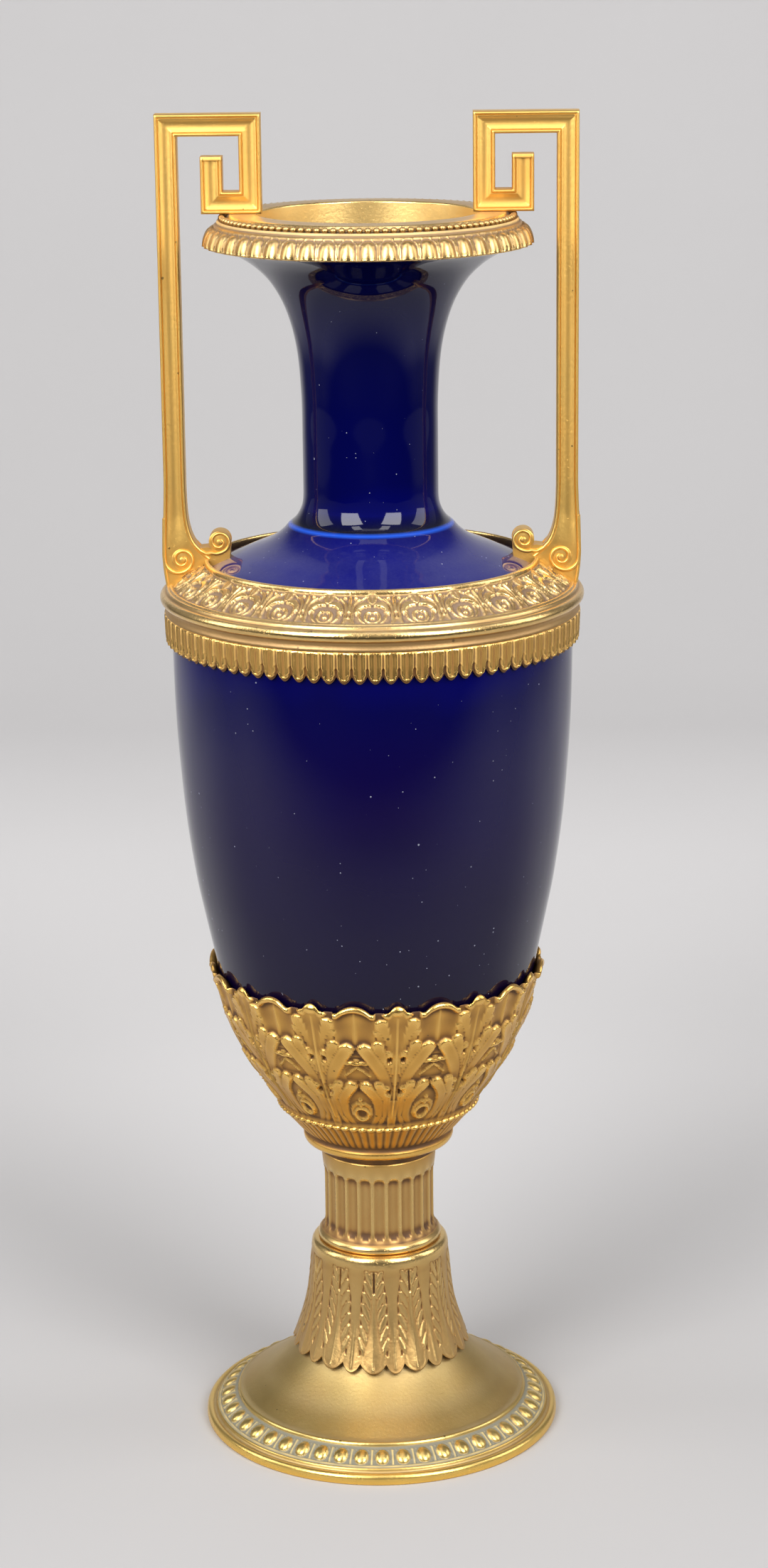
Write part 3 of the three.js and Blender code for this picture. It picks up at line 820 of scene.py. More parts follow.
def cuff_leaves(x, s):
    across = np.abs(x)
    start = np.clip((s - 4.5) / 6.0, 0, 1)
    height = -0.5 * start**2 * (3 - 2 * start)
    blade = stroke(across, s, [(CUFF_HALF, 9), (CUFF_HALF, 31), (CUFF_HALF, 50)], [3.6, 2.0, 3.6])
    ridge = np.exp(-(((CUFF_HALF - across) / 0.5) ** 2)) * np.clip((s - 30) / 10, 0, 1)
    height = np.where(blade < 1, height + 0.15 * (1 - blade**2) + 0.3 * ridge, height)
    leaf = stroke(x, s, [(0, 12.5), (0, 22), (0, 44), (0, 50)], [4.6, 6.1, 5.8, 5.2])
    groove = np.abs(leaf - 1.04) / 0.09
    height = np.where((groove < 1) & (s < 47), height - (0.35 + 0.6 * s / 47) * dome(groove), height)
    height = domed(height, leaf, -0.5, 0.3, lay)
    wedge = stroke(x, s, [(0, 15), (0, 30), (0, 40), (0, 46), (0, 50.5)], [0.5, 1.7, 2.9, 4.3, 3.6])
    for down in np.arange(LEAFLETS) / (LEAFLETS - 1):
        middle_x, middle_s = 2.4 + 2.8 * down**1.1, 11.5 + 31.5 * down
        size = 1.1 - 0.3 * abs(down - 0.4)
        tip = (middle_x + 1.4 * size, middle_s - 3.2)
        root = (middle_x - 1.3 * size, middle_s + 3.2)
        leaflet, along = traced(across, s, [root, (middle_x, middle_s), tip], [1.0 * size, 1.8 * size, 1.4 * size])
        height = lay(height, leaflet, -0.5 + 0.6 * dome(leaflet) - 0.3 * along)
    height = lay(height, wedge, -0.45 + 0.55 * (1 - wedge) ** 0.8)
    slit = stroke(x, s, [(0, 8.5), (0, 13), (0, 18.5)], [0.4, 0.75, 0.35])
    height = lay(height, slit, -1.5 + 0.6 * slit)
    keel = stroke(x, s, [(0, 24), (0, 54)], [0.35, 0.45])
    return carve(height, keel, -0.1 + 0.3 * dome(keel))


round_piece(
    "hanging_leaf_cuff", "gilt_carved", "leaf_cuff", CUFF_LEAVES,
    gore("cuff_gore", CUFF_LEAVES, cuff_outer, cuff_inner, columns=48, spread=CUFF_SPREAD, relief=cuff_leaves,
         bottom=cuff_tips, reach=18),
    start=CUFF_START, uneven=0.16, scale=110,
)

# %% [markdown]
# ## Fluted stem
# A short tube with twenty-four wide, flat flutes that stop in round ends, a moulding below them and a plain neck above.

# %% Stem
FLUTES, STEM_SPREAD = 24, 25.2
stem_outer = contour(
    (26.4, 131.7), (7, (25.9, 126), (25.5, 122.6)), (34, (25.2, 121), (25.15, 109), (25.2, 97)),
    (4, (25.5, 94.6), (26.3, 92.6)), (6, (27.3, 91.9), (28.2, 90.6), (28.3, 89.4), (28, 88.3)),
)[0]
stem_inner = run([(15, 88.3), (15, 131.7)], 2)


def flutes(x, s):
    flute = stroke(x, s, [(0, 10.6), (0, 35.0)], 2.65)
    return lay(np.zeros(x.shape), flute, -1.1 * np.clip(1 - flute**3, 0, 1) ** 0.6)


round_piece(
    "fluted_stem_tube", "gilt_carved", "fluted_stem", FLUTES,
    gore("stem_gore", FLUTES, stem_outer, stem_inner, columns=16, spread=STEM_SPREAD, relief=flutes, blur=2),
    uneven=0.10,
)

# %% [markdown]
# ## Acanthus cup
# The richest casting: twelve broad acanthus leaves with a curled hood, two tiers of lobes that spring from the foot of
# the narrow leaves between, and a ringed eyelet at the bottom. Below run a corded ridge, a ribbed collar and a
# polished torus. Half a leaf is drawn and mirrored; the lobes are laid from the back ones to the front ones.

# %% Cup profile
CUP_LEAVES, CUP_START, CUP_SPREAD = 12, -8.0, 58.6
CUP_HALF = math.pi / CUP_LEAVES * CUP_SPREAD
CORDS = 6  # cord dashes and collar ribs in each gore
cup_outer, cup_at = contour(
    (74.2, 228),
    (126, (75.0, 220), (72.9, 212), (69.7, 200), (66.8, 192), (63, 184), (59, 176), (53.7, 168), (48.4, 160),
     (45.7, 156.7)), (4, (46.3, 156.2), (46.3, 155.2), (45.4, 154.7)),
    (11, (40.5, 149.2), (36.6, 144.6), (33.9, 142.3)), (2, (33.3, 141.6), (33.6, 140.8)),
    (9, (34.3, 139.6), (34.2, 138.0), (33.2, 136.6), (31.0, 135.8)), (4, (28.6, 134.8), (27.2, 133.4), (26.8, 132.0)),
)
cup_inner = contour(
    (14, 132), (1, (14, 147.2)), (1, (31.5, 147.2)),
    (8, (41.5, 157.2), (52.5, 172.2), (62.3, 190), (69.0, 205), (72.4, 216), (73.4, 226)),
)[0]
cord_at, collar_at, collar_end = cup_at[1:4]  # distances down to the corded ridge and the ribbed collar
print("cup: leaves over", round(cord_at, 1), "mm of profile, collar", round(collar_end - collar_at, 1))


# %% Cup edge
def cup_tips(x):
    """The scalloped top edge: a broad arch, a side lobe and a three-knobbed narrow leaf."""
    across = np.abs(x)
    beside = CUP_HALF - across

    def bump(offset, half, edge, rise):
        return edge - rise * dome(offset / half)

    broad = bump(across, 7.5, 11.2, 7.0)
    side = bump(across - 9.3, 2.4, 11.4, 1.8)
    knob = bump(beside, 2.9, 7.6, 3.4)
    ear = bump(beside - 3.4, 1.9, 9.6, 2.4)
    return np.minimum.reduce([broad, side, knob, ear]).clip(3.8, 11.4)


# %% Cup carving
def acanthus(x, s):
    across = np.abs(x)
    beside = CUP_HALF - across
    height = np.full(x.shape, -1.15)
    below_edge = s - cup_tips(x)

    # The hood: a rolled lip over two hollow flutes with a soft rib between
    hood = stroke(x, s, [(0, 11.3), (0, 24)], [7.5, 7.2])
    flute = np.abs(across - 3.4) / 3.4
    height = lay(height, hood, -1.3 + 0.2 * flute**2 + 0.5 * np.clip(hood, 0, 1) ** 4)
    rib = stroke(x, s, [(0, 7), (0, 24)], [0.5, 0.9])
    height = domed(height, rib, -1.2, 0.35)
    lip = np.abs(below_edge - 1.5) / 1.7
    height = np.where(across < 7.4, carve(height, lip, -0.4 + 1.3 * dome(lip)), height)

    def lobe(height, path, widths, low, high):
        widths = np.interp(np.linspace(0, 1, 8), np.linspace(0, 1, len(widths)), widths)
        q, along = traced(across, s, curve(*path, steps=7), widths)
        side = np.clip((1 - q) / 0.4, 0, 1) ** 0.6
        rim = 0.22 * dome(np.clip(np.abs(q - 0.76) / 0.24, 0, 1)) * along**2
        return lay(height, q, low + (high - low) * along**2 - 0.4 * (1 - side) + rim)

    def pit(height, centre, radii):
        q = oval(across, s, centre, radii)
        return lay(height, q, -2.6 + 1.2 * q**2)

    # Beside the hood
    height = lobe(height, [(13.4, 44), (12.2, 30), (11.2, 20), (9.9, 13.6)], [1.4, 2.2, 2.9, 2.8], -0.9, 0.1)
    height = lobe(height, [(11.4, 29), (9.6, 22), (8.0, 17.6)], [0.8, 1.3, 1.3], -0.8, -0.15)

    # Narrow leaf
    leaf, along = traced(
        beside, s, [(0, 76), (0, 50), (0, 27), (0, 20), (0, 14), (0, 8.5)], [2.4, 2.0, 1.8, 2.3, 3.3, 4.4]
    )
    height = lay(height, leaf, -0.75 + 0.45 * along**2 + 0.25 * np.clip(leaf, 0, 1) ** 2 * (1 - along))
    for centre, radii, up in (((0, 6.9), (2.7, 2.3), 0.75), ((3.5, 8.9), (1.7, 1.6), 0.45)):
        knob = oval(beside, s, centre, radii)
        height = domed(height, knob, -0.3, up, lay)
    vein = stroke(beside, s, [(0, 10.5), (0, 72)], [0.4, 0.4])
    height = domed(height, vein, -0.45, 0.3)

    # Upper tier
    height = lobe(height, [(14.0, 52), (13.2, 38), (12.2, 28.6)], [0.8, 1.1, 1.3], -0.7, 0.0)
    height = lobe(height, [(13.8, 56), (11.9, 40), (9.8, 31), (8.3, 24.6)], [1.4, 1.9, 2.2, 2.2], -0.9, 0.1)
    height = lobe(height, [(13.6, 57), (10.6, 43), (6.6, 33), (3.4, 26.6)], [1.6, 2.6, 3.0, 2.8], -0.95, 0.2)
    height = pit(height, (12.7, 33.0), (0.95, 2.1))

    # Bud and hollow between the tiers
    hollow = np.maximum((37.4 - s) / 3.0 + across / 3.0, (s - 43.5) / 2.0)
    height = np.where((across < 4.8) & (hollow < 1) & (s > 36) & (s < 46), np.minimum(height, -1.35), height)
    wing = stroke(across, s, [(0.4, 34.9), (2.2, 34.2), (3.8, 34.9)], [0.95, 1.0, 0.6])
    height = domed(height, wing, -0.9, 0.8, lay)
    bud = oval(x, s, (0, 32.8), (0.9, 0.8))
    height = domed(height, bud, -0.8, 0.8, lay)
    fold = stroke(across, s, [(0, 37.2), (5.2, 42.6)], [0.35, 0.45])
    height = domed(height, fold, -0.9, 0.4)

    # Lower tier, curling round the eyelet
    height = lobe(height, [(13.2, 70), (13.0, 58), (12.0, 49.6)], [0.6, 0.9, 1.1], -0.7, 0.0)
    height = lobe(height, [(8.8, 78), (11.2, 69), (11.0, 58), (8.7, 47.6)], [1.4, 1.8, 2.1, 2.1], -0.85, 0.05)
    height = lobe(height, [(4.6, 78), (8.2, 70), (7.8, 58), (3.1, 48.6)], [1.5, 2.2, 2.6, 2.6], -0.9, 0.15)
    height = pit(height, (13.0, 52.6), (0.9, 2.0))
    slit = stroke(x, s, [(0, 46), (0, 52)], [0.5, 0.35])
    height = lay(height, slit, -1.7 + 0.5 * slit)

    # Eyelet
    basin = oval(x, s, (0, 66.6), (5.6, 7.4))
    height = lay(height, basin, -0.95 + 0.3 * basin**4)
    collar = oval(x, s, (0, 67.2), (4.6, 6.0))
    ring = np.abs(collar - 1) / 0.13
    height = domed(height, ring, -0.95, 0.4)
    eye = oval(x, s, (0, 68.2), (3.3, 4.3))
    height = lay(height, eye, -1.5 + 0.4 * eye**2)
    ring = np.abs(eye - 1) / 0.24
    height = domed(height, ring, -0.85, 0.85, lay)
    for centre, radii in (((0, 57.6), (1.0, 0.9)), ((1.3, 60.6), (1.0, 0.6)), ((0, 62.0), (0.9, 0.7))):
        bud = oval(across, s, centre, radii)
        height = domed(height, bud, -0.7, 0.7)

    # Foot of the leaves, cord and ribs
    height = 1.25 * height * np.clip((cord_at - 0.3 - s) / 1.6, 0, 1)
    place = x / CUP_HALF * CORDS / 2
    dash = 0.5 + 0.5 * np.cos(2 * math.pi * (place + 0.12 * (s - cord_at)))
    on_cord = (s > cord_at - 0.4) & (s < collar_at + 0.2)
    height = np.where(on_cord, 0.1 - 0.75 * (1 - dash) ** 3, height)
    rib = 0.5 + 0.5 * np.cos(2 * math.pi * (place + 0.25))
    ribbed = np.clip((s - collar_at) / 0.8, 0, 1) * np.clip((collar_end - 0.6 - s) / 1.2, 0, 1)
    return height - ribbed * 0.65 * (1 - rib) ** 2


round_piece(
    "acanthus_leaf_cup", "gilt_carved", "acanthus_cup", CUP_LEAVES,
    gore("cup_gore", CUP_LEAVES, cup_outer, cup_inner, columns=48, spread=CUP_SPREAD, relief=acanthus, top=cup_tips,
         reach=45, depth=0.55),
    start=CUP_START, uneven=0.22, scale=120,
)

# %% [markdown]
# ## Shoulder ring
# A sloping band of twenty-six scrolls between a plain rim and a stack of mouldings. Each scroll is a thin ridge round
# a pair of flat crescents, with two open loops and a knob between them and a spear between neighbours.

# %% Shoulder ring
SCROLLS, RING_SPREAD = 26, 84.0
RING_HALF = math.pi / SCROLLS * RING_SPREAD
ring_outer, ring_at = contour(
    (71.6, 407.0), (4, (71.8, 407.6), (72.6, 407.7), (73.3, 407.1)), (1, (73.7, 406.1)),
    (42, (77.4, 403.7), (84.2, 399.0), (87.8, 396.3)), (3, (88.2, 396.6), (88.9, 396.2), (89.2, 395.5)),
    (3, (89.7, 395.8), (90.3, 395.4), (90.5, 394.6)), (2, (90.9, 394.0), (91.5, 394.0)),
    (8, (92.4, 393.6), (93.1, 392.6), (93.3, 391.4), (93.0, 390.2), (92.2, 389.4)), (1, (91.0, 388.9)),
    (4, (90.6, 388.0), (90.7, 386.6), (91.4, 385.2)),
)
ring_inner = contour(
    (89.4, 385.2), (1, (85.6, 393.2)), (1, (71.6, 403.4)), (1, (71.6, 406.4)),
)[0]
slope_at, slope_end = ring_at[2:4]


def scrolls(x, s):
    across, y = np.abs(x), s - slope_at
    height = np.full(x.shape, -1.35)

    def ridge(height, path, widths, top, steps=8):
        widths = np.interp(np.linspace(0, 1, steps + 1), np.linspace(0, 1, len(widths)), widths)
        q = stroke(across, y, curve(*path, steps=steps), widths)
        return domed(height, q, top - 0.6, 0.6)

    spear_foot = stroke(across, y, [(RING_HALF, 12.0), (RING_HALF, 17.6)], [0.4, 3.1])
    height = lay(height, spear_foot, -0.75 + 0.3 * spear_foot)
    plate = oval(x, y, (0, 10.6), (7.9, 7.4))
    height = lay(height, plate, -1.05)
    height = ridge(height, [(8.0, 16.8), (8.7, 10.5), (8.1, 5.2), (5.6, 2.4)], [0.3, 0.6, 0.75, 0.55], -0.15)
    height = ridge(height, [(4.4, 2.6), (2.6, 1.0), (0, 0.5)], [0.35, 0.35, 0.35], -0.2)
    bud = stroke(x, y, [(0, 2.4), (0, 4.0)], [2.3, 1.6])
    height = carve(height, bud, -0.7 + 0.3 * plateau(bud))
    groove = stroke(x, y, [(0, 1.8), (0, 4.6)], 0.25)
    height = lay(height, groove, -1.1 + 0.3 * groove)
    path = curve((1.5, 6.3), (4.4, 6.2), (6.3, 8.3), (6.9, 11.6), steps=6)
    crescent = stroke(across, y, path, [0.9, 1.3, 1.5, 1.4, 1.15, 0.8, 0.35])
    height = lay(height, crescent, -0.2 + 0.45 * plateau(crescent, 0.4))
    for centre, radii, thick, top, start in (
        ((0, 11.6), (5.6, 5.6), 0.5, -0.25, 9.5), ((0, 13.0), (2.9, 3.4), 0.6, 0.1, 10.2),
    ):
        loop = oval(x, y, centre, radii)
        q = np.where(y < start, FAR_OFF, np.abs(loop - 1) * min(radii) / thick)
        height = domed(height, q, top - 0.6, 0.6)
    height = ridge(height, [(1.8, 10.2), (1.1, 9.6), (0.9, 10.8)], [0.45, 0.4, 0.35], -0.2, 4)
    knob = oval(x, y, (0, 13.2), (1.25, 1.3))
    height = domed(height, knob, -0.9, 0.85)
    spear = stroke(across, y, [(RING_HALF, 0.8), (RING_HALF, 6), (RING_HALF, 13.5)], [0.45, 0.55, 0.4])
    height = domed(height, spear, -0.5, 0.65)
    curl = oval(across, y, (RING_HALF - 2.4, 1.6), (1.0, 0.9))
    height = domed(height, curl, -0.8, 0.65)
    return np.where((y > 0) & (y < slope_end - slope_at), 1.1 * height + 0.1, 0)


round_piece(
    "shoulder_scroll_ring", "gilt_ring", "shoulder_ring", SCROLLS,
    gore("ring_gore", SCROLLS, ring_outer, ring_inner, columns=44, spread=RING_SPREAD, relief=scrolls, depth=0.4,
         band=(slope_at - 0.8, slope_end + 0.4)),
    uneven=0.18, scale=150,
)

# %% [markdown]
# ## Fringe of tongues
# Eighty-six pressed tongues hang under the ring. Each has a rounded border, two shallow channels and a pointed tip.

# %% Fringe
TONGUES, FRINGE_SPREAD = 86, 91.5
FRINGE_HALF = math.pi / TONGUES * FRINGE_SPREAD
fringe_outer = contour(
    (90.7, 384.9), (2, (91.6, 384.6), (91.7, 383.6)), (26, (91.5, 377), (91.1, 370.8)),
)[0]
fringe_inner = run([(89.5, 370.8), (89.3, 384.8)], 2)


def tongue_tips(x):
    return 3.4 * (np.abs(x) / FRINGE_HALF) ** 1.9


def tongue_shape(x, s):
    return stroke(x, s, [(0, 0), (0, 9.5), (0, 11.5)], [2.8, 2.75, 2.1])


def tongues(x, s):
    tongue = tongue_shape(x, s)
    border = np.abs(tongue - 0.86) / 0.15
    height = lay(np.full(x.shape, -1.5), tongue, -0.5 - 0.2 * np.cos(2.9 * np.clip(x, -2.6, 2.6)))
    height = domed(height, border, -0.4, 0.4)
    return height * np.clip((s - 0.8) / 0.6, 0, 1)


# Dirt and painted shade: the gaps between tongues and the strip tucked under the ring are darkened as hollows.
def fringe_dirt_and_shade(x, s):
    return np.where(tongue_shape(x, s) > 0.97, 1.0, 0) + np.where(s < 0.9, 0.7, 0)


round_piece(
    "hanging_tongue_fringe", "gilt_carved", "tongue_fringe", TONGUES,
    gore("fringe_gore", TONGUES, fringe_outer, fringe_inner, columns=12, spread=FRINGE_SPREAD, relief=tongues,
         bottom=tongue_tips, reach=10, depth=0.35, blur=2, added_dirt_and_shade=fringe_dirt_and_shade),
    start=0.6, uneven=0.22, scale=90,
)

# %% [markdown]
# ## Mount of the mouth
# A flat collar with a bead row, and below it fifty-one fat tongues in thin arches that run out at the lower edge. A
# short sleeve lines the mouth, its colour painted light. The beads are a ball of few faces, repeated by the same tree.

# %% Mouth mount
RIM_TONGUES, RIM_SPREAD = 51, 69.5
rim_outer, rim_at = contour(
    (47.4, 557.2), (1, (47.9, 557.8)), (4, (59.2, 557.8)), (3, (59.8, 557.5), (60.0, 556.7), (60.6, 556.3)),
    (2, (61.2, 556.1), (61.5, 555.3)), (2, (62.6, 554.9), (63.9, 555.1)),
    (3, (64.5, 555.3), (64.9, 554.8), (65.0, 554.0)), (2, (65.4, 553.4), (66.2, 553.2)),
    (24, (67.9, 552.0), (69.6, 549.9), (70.8, 547.0), (71.2, 544.6)),
    (4, (70.6, 544.1), (69.6, 544.2), (65.4, 544.4)),
)
rim_inner = contour(
    (65.2, 546.3), (1, (49.2, 546.3)), (1, (49.2, 541.6)), (1, (47.4, 541.6)), (3, (47.4, 557.0)),
)[0]
channel_at = lengths(rim_outer)[9]  # halfway down the small step before the beads
arch_at, arch_end = rim_at[7:9]


RIM_TONGUE_PATH = [(0, 3.6), (0, 7), (0, 13)]
RIM_TONGUE_WIDTHS, ARCH_WIDTHS = [2.9, 3.2, 3.35], [3.75, 3.95, 4.05]


def rim_arches(x, s):
    y = s - arch_at
    tongue = stroke(x, y, RIM_TONGUE_PATH, RIM_TONGUE_WIDTHS)
    arch = stroke(x, y, RIM_TONGUE_PATH, ARCH_WIDTHS)
    height = np.full(x.shape, -1.1)
    rim = np.abs(arch - 1.0) / 0.08
    height = domed(height, rim, -0.8, 0.3)
    height = lay(height, tongue, -0.9 + 1.15 * (1 - tongue**2))
    fade = np.clip(y / 0.5, 0, 1) * np.clip((arch_end + 1.0 - s) / 0.8, 0, 1)
    return np.where(y > 0, height * fade, 0)


def rim_dirt_and_shade(x, s):
    """Dirt and painted shade under the beads and round the tongues."""
    tongue = stroke(x, s - arch_at, RIM_TONGUE_PATH, RIM_TONGUE_WIDTHS)
    gap = (s > arch_at + 0.4) & (s < arch_end) & (np.abs(tongue - 1.08) < 0.1)
    return np.where((s > channel_at) & (s < arch_at - 1.4) | gap, 0.9, 0)


round_piece(
    "mouth_mount", "gilt_ring", "rim_mount", RIM_TONGUES,
    gore("rim_gore", RIM_TONGUES, rim_outer, rim_inner, columns=20, spread=RIM_SPREAD, relief=rim_arches, blur=2,
         band=(arch_at, arch_end), added_dirt_and_shade=rim_dirt_and_shade),
    uneven=0.12,
)

# %% Bead row
BEADS, BEAD_RING, BEAD_HEIGHT, BEAD_RADIUS = 110, 62.7, 556.1, 1.5


def bead(sides=8, rows=5):
    """A ball of few faces, flattened where it sits in its channel."""
    points, faces = [(0.0, 0.0, 1.0)], []
    for i in range(1, rows):
        polar = math.pi * i / rows
        for j in range(sides):
            a = 2 * math.pi * j / sides
            points.append((math.sin(polar) * math.cos(a), math.sin(polar) * math.sin(a), math.cos(polar)))
    points.append((0.0, 0.0, -1.0))
    faces += [(0, 1 + j, 1 + (j + 1) % sides) for j in range(sides)]
    for i in range(rows - 2):
        a, b = 1 + i * sides, 1 + (i + 1) * sides
        faces += [(a + j, b + j, b + (j + 1) % sides, a + (j + 1) % sides) for j in range(sides)]
    last = 1 + (rows - 2) * sides
    faces += [(last + j, len(points) - 1, last + (j + 1) % sides) for j in range(sides)]
    mesh = bpy.data.meshes.new("bead")
    place = Vector((0, -BEAD_RING, BEAD_HEIGHT))
    mesh.from_pydata([(Vector(p) * BEAD_RADIUS + place) * MM for p in points], [], faces)
    return mesh


round_piece("bead_row", "gilt_ring", None, BEADS, bead())

# %% [markdown]
# ## Greek-key handles
# Each handle is one bar that turns square corners with true mitres, runs straight down, flares, and ends in two
# volutes on the ring. The bar is a section carried between two rails, its outer and its inner edge, so the mitres come
# by themselves: a rounded fillet follows each rail and a cove lies between them, on the front and the back. The volutes
# are rounded ribbons that go on from the fillets and wind in to a boss. The heel between them is sunk a little into
# the ring, so that no gap shows under it.

# %% Handle rails
BAR = 9.4
KEY_TOP, KEY_OUT, KEY_IN, KEY_REST = 600.0, 90.4, 45.2, 557.8
TONGUE_TOP, TONGUE_OUT = 582.0, 71.2
UPRIGHT_END = 450.0
MITRE = 0.7  # length of bar that a mitre's crease spreads over
TONGUE_END = 2.4  # length of the rounded end of the bar's tongue
FULL_DEPTH, FRONT_EDGE = 5.46, 0.3  # the depth a filled cove comes up to, and how near the rails it stays as it is

key_outer = [(TONGUE_OUT, TONGUE_TOP), (TONGUE_OUT, KEY_REST), (KEY_IN, KEY_REST), (KEY_IN, KEY_TOP)]
key_outer += [(KEY_OUT, KEY_TOP), (KEY_OUT, UPRIGHT_END)]
key_inner = [(TONGUE_OUT - BAR, TONGUE_TOP), (TONGUE_OUT - BAR, KEY_REST + BAR), (KEY_IN + BAR, KEY_REST + BAR)]
key_inner += [(KEY_IN + BAR, KEY_TOP - BAR), (KEY_OUT - BAR, KEY_TOP - BAR), (KEY_OUT - BAR, UPRIGHT_END)]
FLARE_STEPS = 26
FILL_FROM, FILL_OVER, FILL_MOST = 424, 14, 0.55  # the cove fills from this height down, over this length, so far
flare_out = run(
    [(90.4, 450), (90.45, 440), (90.9, 428), (91.5, 417), (91.7, 408), (91.2, 401.5), (90.4, 396.3)], FLARE_STEPS
)
flare_in = run(
    [(81, 450), (80.95, 437), (80.4, 426), (79.0, 419), (76.8, 414.4), (74.2, 411.4), (70.6, 408.4)], FLARE_STEPS
)


def bar_stations():
    """Places along the bar: the outer rail, the inner rail, the bar's width, and how far the cove is filled, 0 to 1."""
    stations = []
    for step, filled in ((0.0, 1.0), (0.5, 1.0), (1.5, 1.0), (1.75, 0.0)):
        stations.append(((TONGUE_OUT, TONGUE_TOP - step), (TONGUE_OUT - BAR, TONGUE_TOP - step), BAR, filled))
    first = TONGUE_END
    for a, b, c, d in zip(key_outer, key_outer[1:], key_inner, key_inner[1:]):
        length = math.dist(a, b)
        for place in (first, length - MITRE):
            u = place / length
            out, into = [tuple(p + (q - p) * u for p, q in zip(*ends)) for ends in ((a, b), (c, d))]
            stations.append((out, into, BAR, 0.0))
        stations.append((b, d, BAR, 0.0))
        first = MITRE
    for out, into in zip(flare_out[1:], flare_in[1:]):
        filled = min(1.0, max(0.0, (FILL_FROM - out[1]) / FILL_OVER)) * FILL_MOST
        stations.append((tuple(out), tuple(into), math.dist(out, into), filled))
    return stations


# %% Handle section
FILLET = [(0.0, 0.0), (0.0, 4.4), (0.06, 4.85), (0.3, 5.25), (0.7, 5.48), (1.05, 5.44), (1.35, 5.2), (1.52, 4.75)]
FILLET += [(1.66, 4.5)]
COVE = [(0.0, 4.55), (0.04, 4.58), (0.14, 4.2), (0.3, 3.85), (0.5, 3.7)]
COVE += [(0.7, 3.85), (0.86, 4.2), (0.96, 4.58), (1.0, 4.55)]


def section(width, filled, trim=0.0):
    """Places across the bar, 0 at the outer rail and 1 at the inner, with their depths: the front, then the back."""
    edge = FILLET[-1][0] / width
    across = [(offset / width, depth) for offset, depth in FILLET]
    across += [(edge + (1 - 2 * edge) * (0.01 + 0.98 * place), depth) for place, depth in COVE]
    across += [(1 - offset / width, depth) for offset, depth in reversed(FILLET)]
    both = []
    for u, depth in across:
        if FRONT_EDGE < u * width < width - FRONT_EDGE:
            depth += filled * max(0.0, FULL_DEPTH - depth)
        both.append((u, depth - trim))
    return [(u, -v) for u, v in both] + [(u, v) for u, v in reversed(both[1:-1])]


# %% Solids between sections
END_TRIM = 0.35  # how much thinner the very end of the tongue is, on each face


def lofted(rows):
    """Points and faces of a closed skin over equal rows of points."""
    points = [p for row in rows for p in row]
    ring, last = len(rows[0]), (len(rows) - 1) * len(rows[0])
    faces = [tuple(range(ring)), tuple(range(last, last + ring))]
    for i in range(0, last, ring):
        faces += [(i + j, i + (j + 1) % ring, i + ring + (j + 1) % ring, i + ring + j) for j in range(ring)]
    return points, faces


def bar_part():
    rows = []
    for k, ((ax, az), (bx, bz), width, filled) in enumerate(bar_stations()):
        across = section(width, filled, 0 if k else END_TRIM)
        rows.append([(ax + (bx - ax) * u, v, az + (bz - az) * u) for u, v in across])
    return lofted(rows)


def ribbon_part(path, widths, top, foot, face):
    """A rounded band raised along a path on the front (-1) or back (1) face."""
    half = [(1, foot), (1, top - 0.85), (0.86, top - 0.42), (0.5, top - 0.1)]
    band = [(-u, v) for u, v in half] + [(0, top)] + half[::-1]
    path = np.array(path, float)
    ahead = np.gradient(path, axis=0)
    ahead /= np.hypot(*ahead.T)[:, None]
    rows = []
    for (x, z), (ax, az), wide in zip(path, ahead, np.interp(np.linspace(0, 1, len(path)), [0, 1], widths)):
        rows.append([(x - az * u * wide / 2, face * v, z + ax * u * wide / 2) for u, v in band])
    return lofted(rows)


def drum_part(centre, radius, depth, sides=40, rounding=0.5):
    rows = []
    edge = [(depth, radius - rounding), (depth - 0.3 * rounding, radius - 0.15 * rounding), (depth - rounding, radius)]
    for y, r in [(-y, r) for y, r in edge] + edge[::-1]:
        rows.append([
            (centre[0] + r * math.cos(2 * math.pi * k / sides), y, centre[1] + r * math.sin(2 * math.pi * k / sides))
            for k in range(sides)
        ])
    return lofted(rows)


def spiral(centre, turns, steps=72):
    """A clockwise path; turns lists the degrees and the distances from the centre."""
    degrees, radii = zip(*turns)
    at = np.linspace(degrees[0], degrees[-1], steps)
    r = np.interp(-at, [-d for d in degrees], radii)
    r = np.convolve(np.pad(r, 3, mode="edge"), np.ones(7) / 7, mode="valid")
    turned = [(q, math.radians(a)) for a, q in zip(at, r)]
    return [(centre[0] + q * math.cos(a), centre[1] + q * math.sin(a)) for q, a in turned]


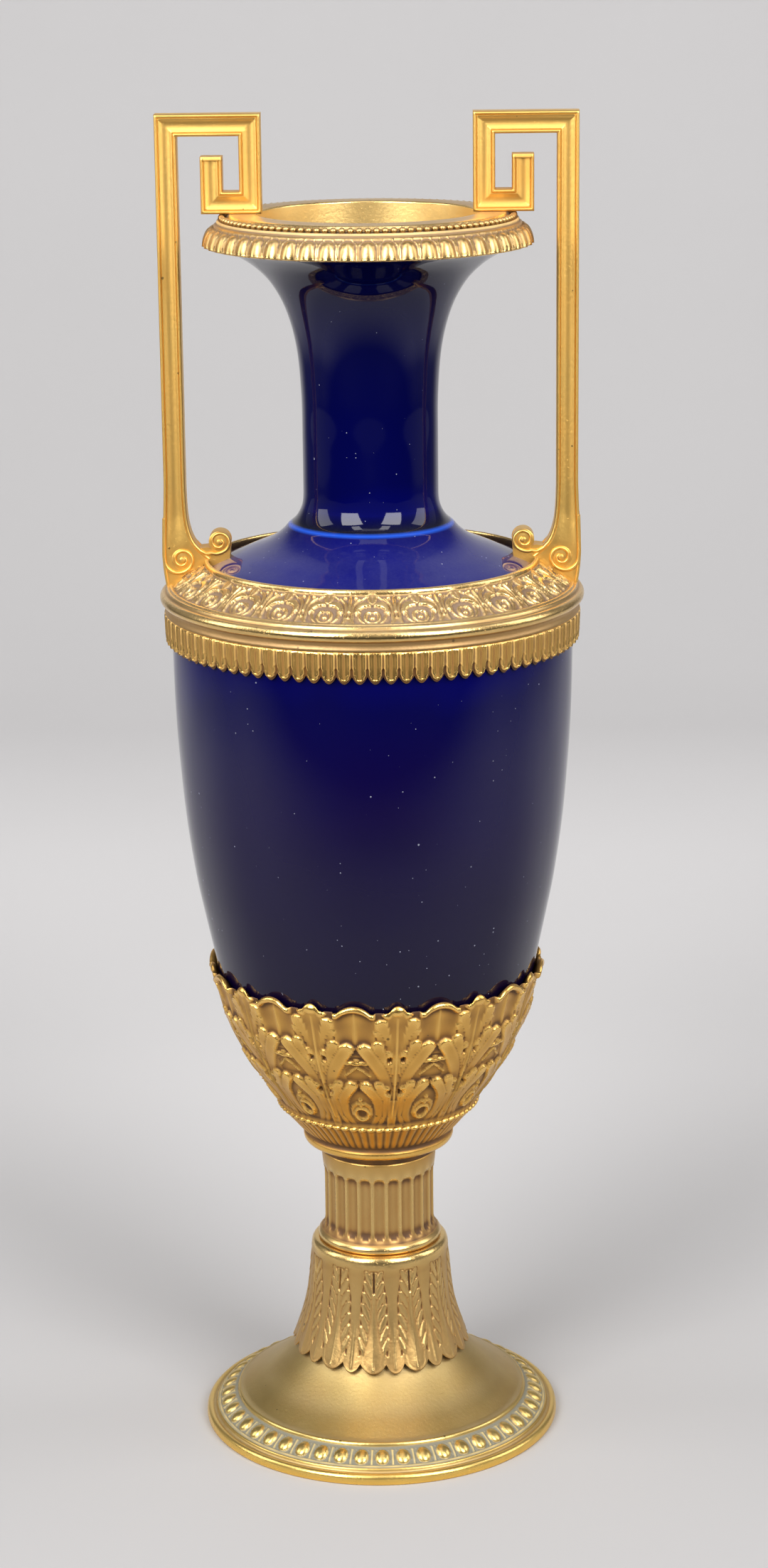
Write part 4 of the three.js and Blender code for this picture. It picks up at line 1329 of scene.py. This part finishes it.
# %% Volutes and the foot between them
OUTER_VOLUTE, INNER_VOLUTE = (83.0, 407.6), (66.6, 415.4)
outer_turns = [(0, 7.9), (-40, 7.4), (-75, 6.0), (-120, 4.7), (-180, 4.3), (-270, 4.0), (-360, 3.25), (-450, 2.5)]
outer_turns += [(-540, 1.7), (-600, 1.1)]
inner_turns = [(-55, 6.2), (-90, 4.7), (-180, 4.2), (-270, 3.9), (-360, 3.1), (-450, 2.4), (-540, 1.6), (-600, 1.1)]
outer_path = [(90.5, 426), (90.7, 420), (90.85, 414), (90.95, 410)] + spiral(OUTER_VOLUTE, outer_turns)
inner_path = [(77.6, 414.2), (75.2, 411.6), (72.6, 410.2)] + spiral(INNER_VOLUTE, inner_turns)
heel = [(61.8, 413.0), (62.2, 406.8), (71.0, 402.9), (71.2, 406.9), (72.7, 406.9), (73.9, 404.9), (77.8, 402.2)]
heel += [(84.6, 397.3), (88.2, 394.8), (90.0, 394.4), (90.3, 400.0), (80.0, 412.0), (72.0, 413.0), (68.0, 412.0)]
HEEL_DEPTH = 4.7
SHARP_ANGLE = 42  # degrees between faces from which an edge is left sharp


def handle_mesh(name, side):
    parts = [bar_part(), drum_part(INNER_VOLUTE, 4.7, 5.2), drum_part(OUTER_VOLUTE, 4.8, 5.0)]
    parts.append(lofted([[(x, y, z) for x, z in heel] for y in (-HEEL_DEPTH, HEEL_DEPTH)]))
    for path, widths in ((outer_path, (1.7, 1.2)), (inner_path, (1.6, 1.1))):
        parts += [ribbon_part(path, widths, 5.95, 3.0, face) for face in (-1, 1)]
    for x, z in (OUTER_VOLUTE, INNER_VOLUTE):
        parts.append(drum_part((x, z), 1.25, 5.98, 16, 0.6))
    points, faces = [], []
    for part_points, part_faces in parts:
        faces += [tuple(len(points) + v for v in face) for face in part_faces]
        points += part_points
    mesh = bpy.data.meshes.new(name)
    mesh.from_pydata([(side * x * MM, side * y * MM, z * MM) for x, y, z in points], [], faces)
    build = bmesh.new()
    build.from_mesh(mesh)
    bmesh.ops.recalc_face_normals(build, faces=build.faces)
    build.to_mesh(mesh)
    build.free()
    mesh.shade_smooth()
    mesh.set_sharp_from_angle(angle=math.radians(SHARP_ANGLE))
    return mesh


for label, side in (("right", 1), ("left", -1)):
    handle = placed(f"key_handle_{label}", handle_mesh(f"key_handle_{label}", side))
    handle.data.materials.append(FINISHES["gilt_handle"])
    mounted(handle, "gilt_handle", f"handle_{label}")
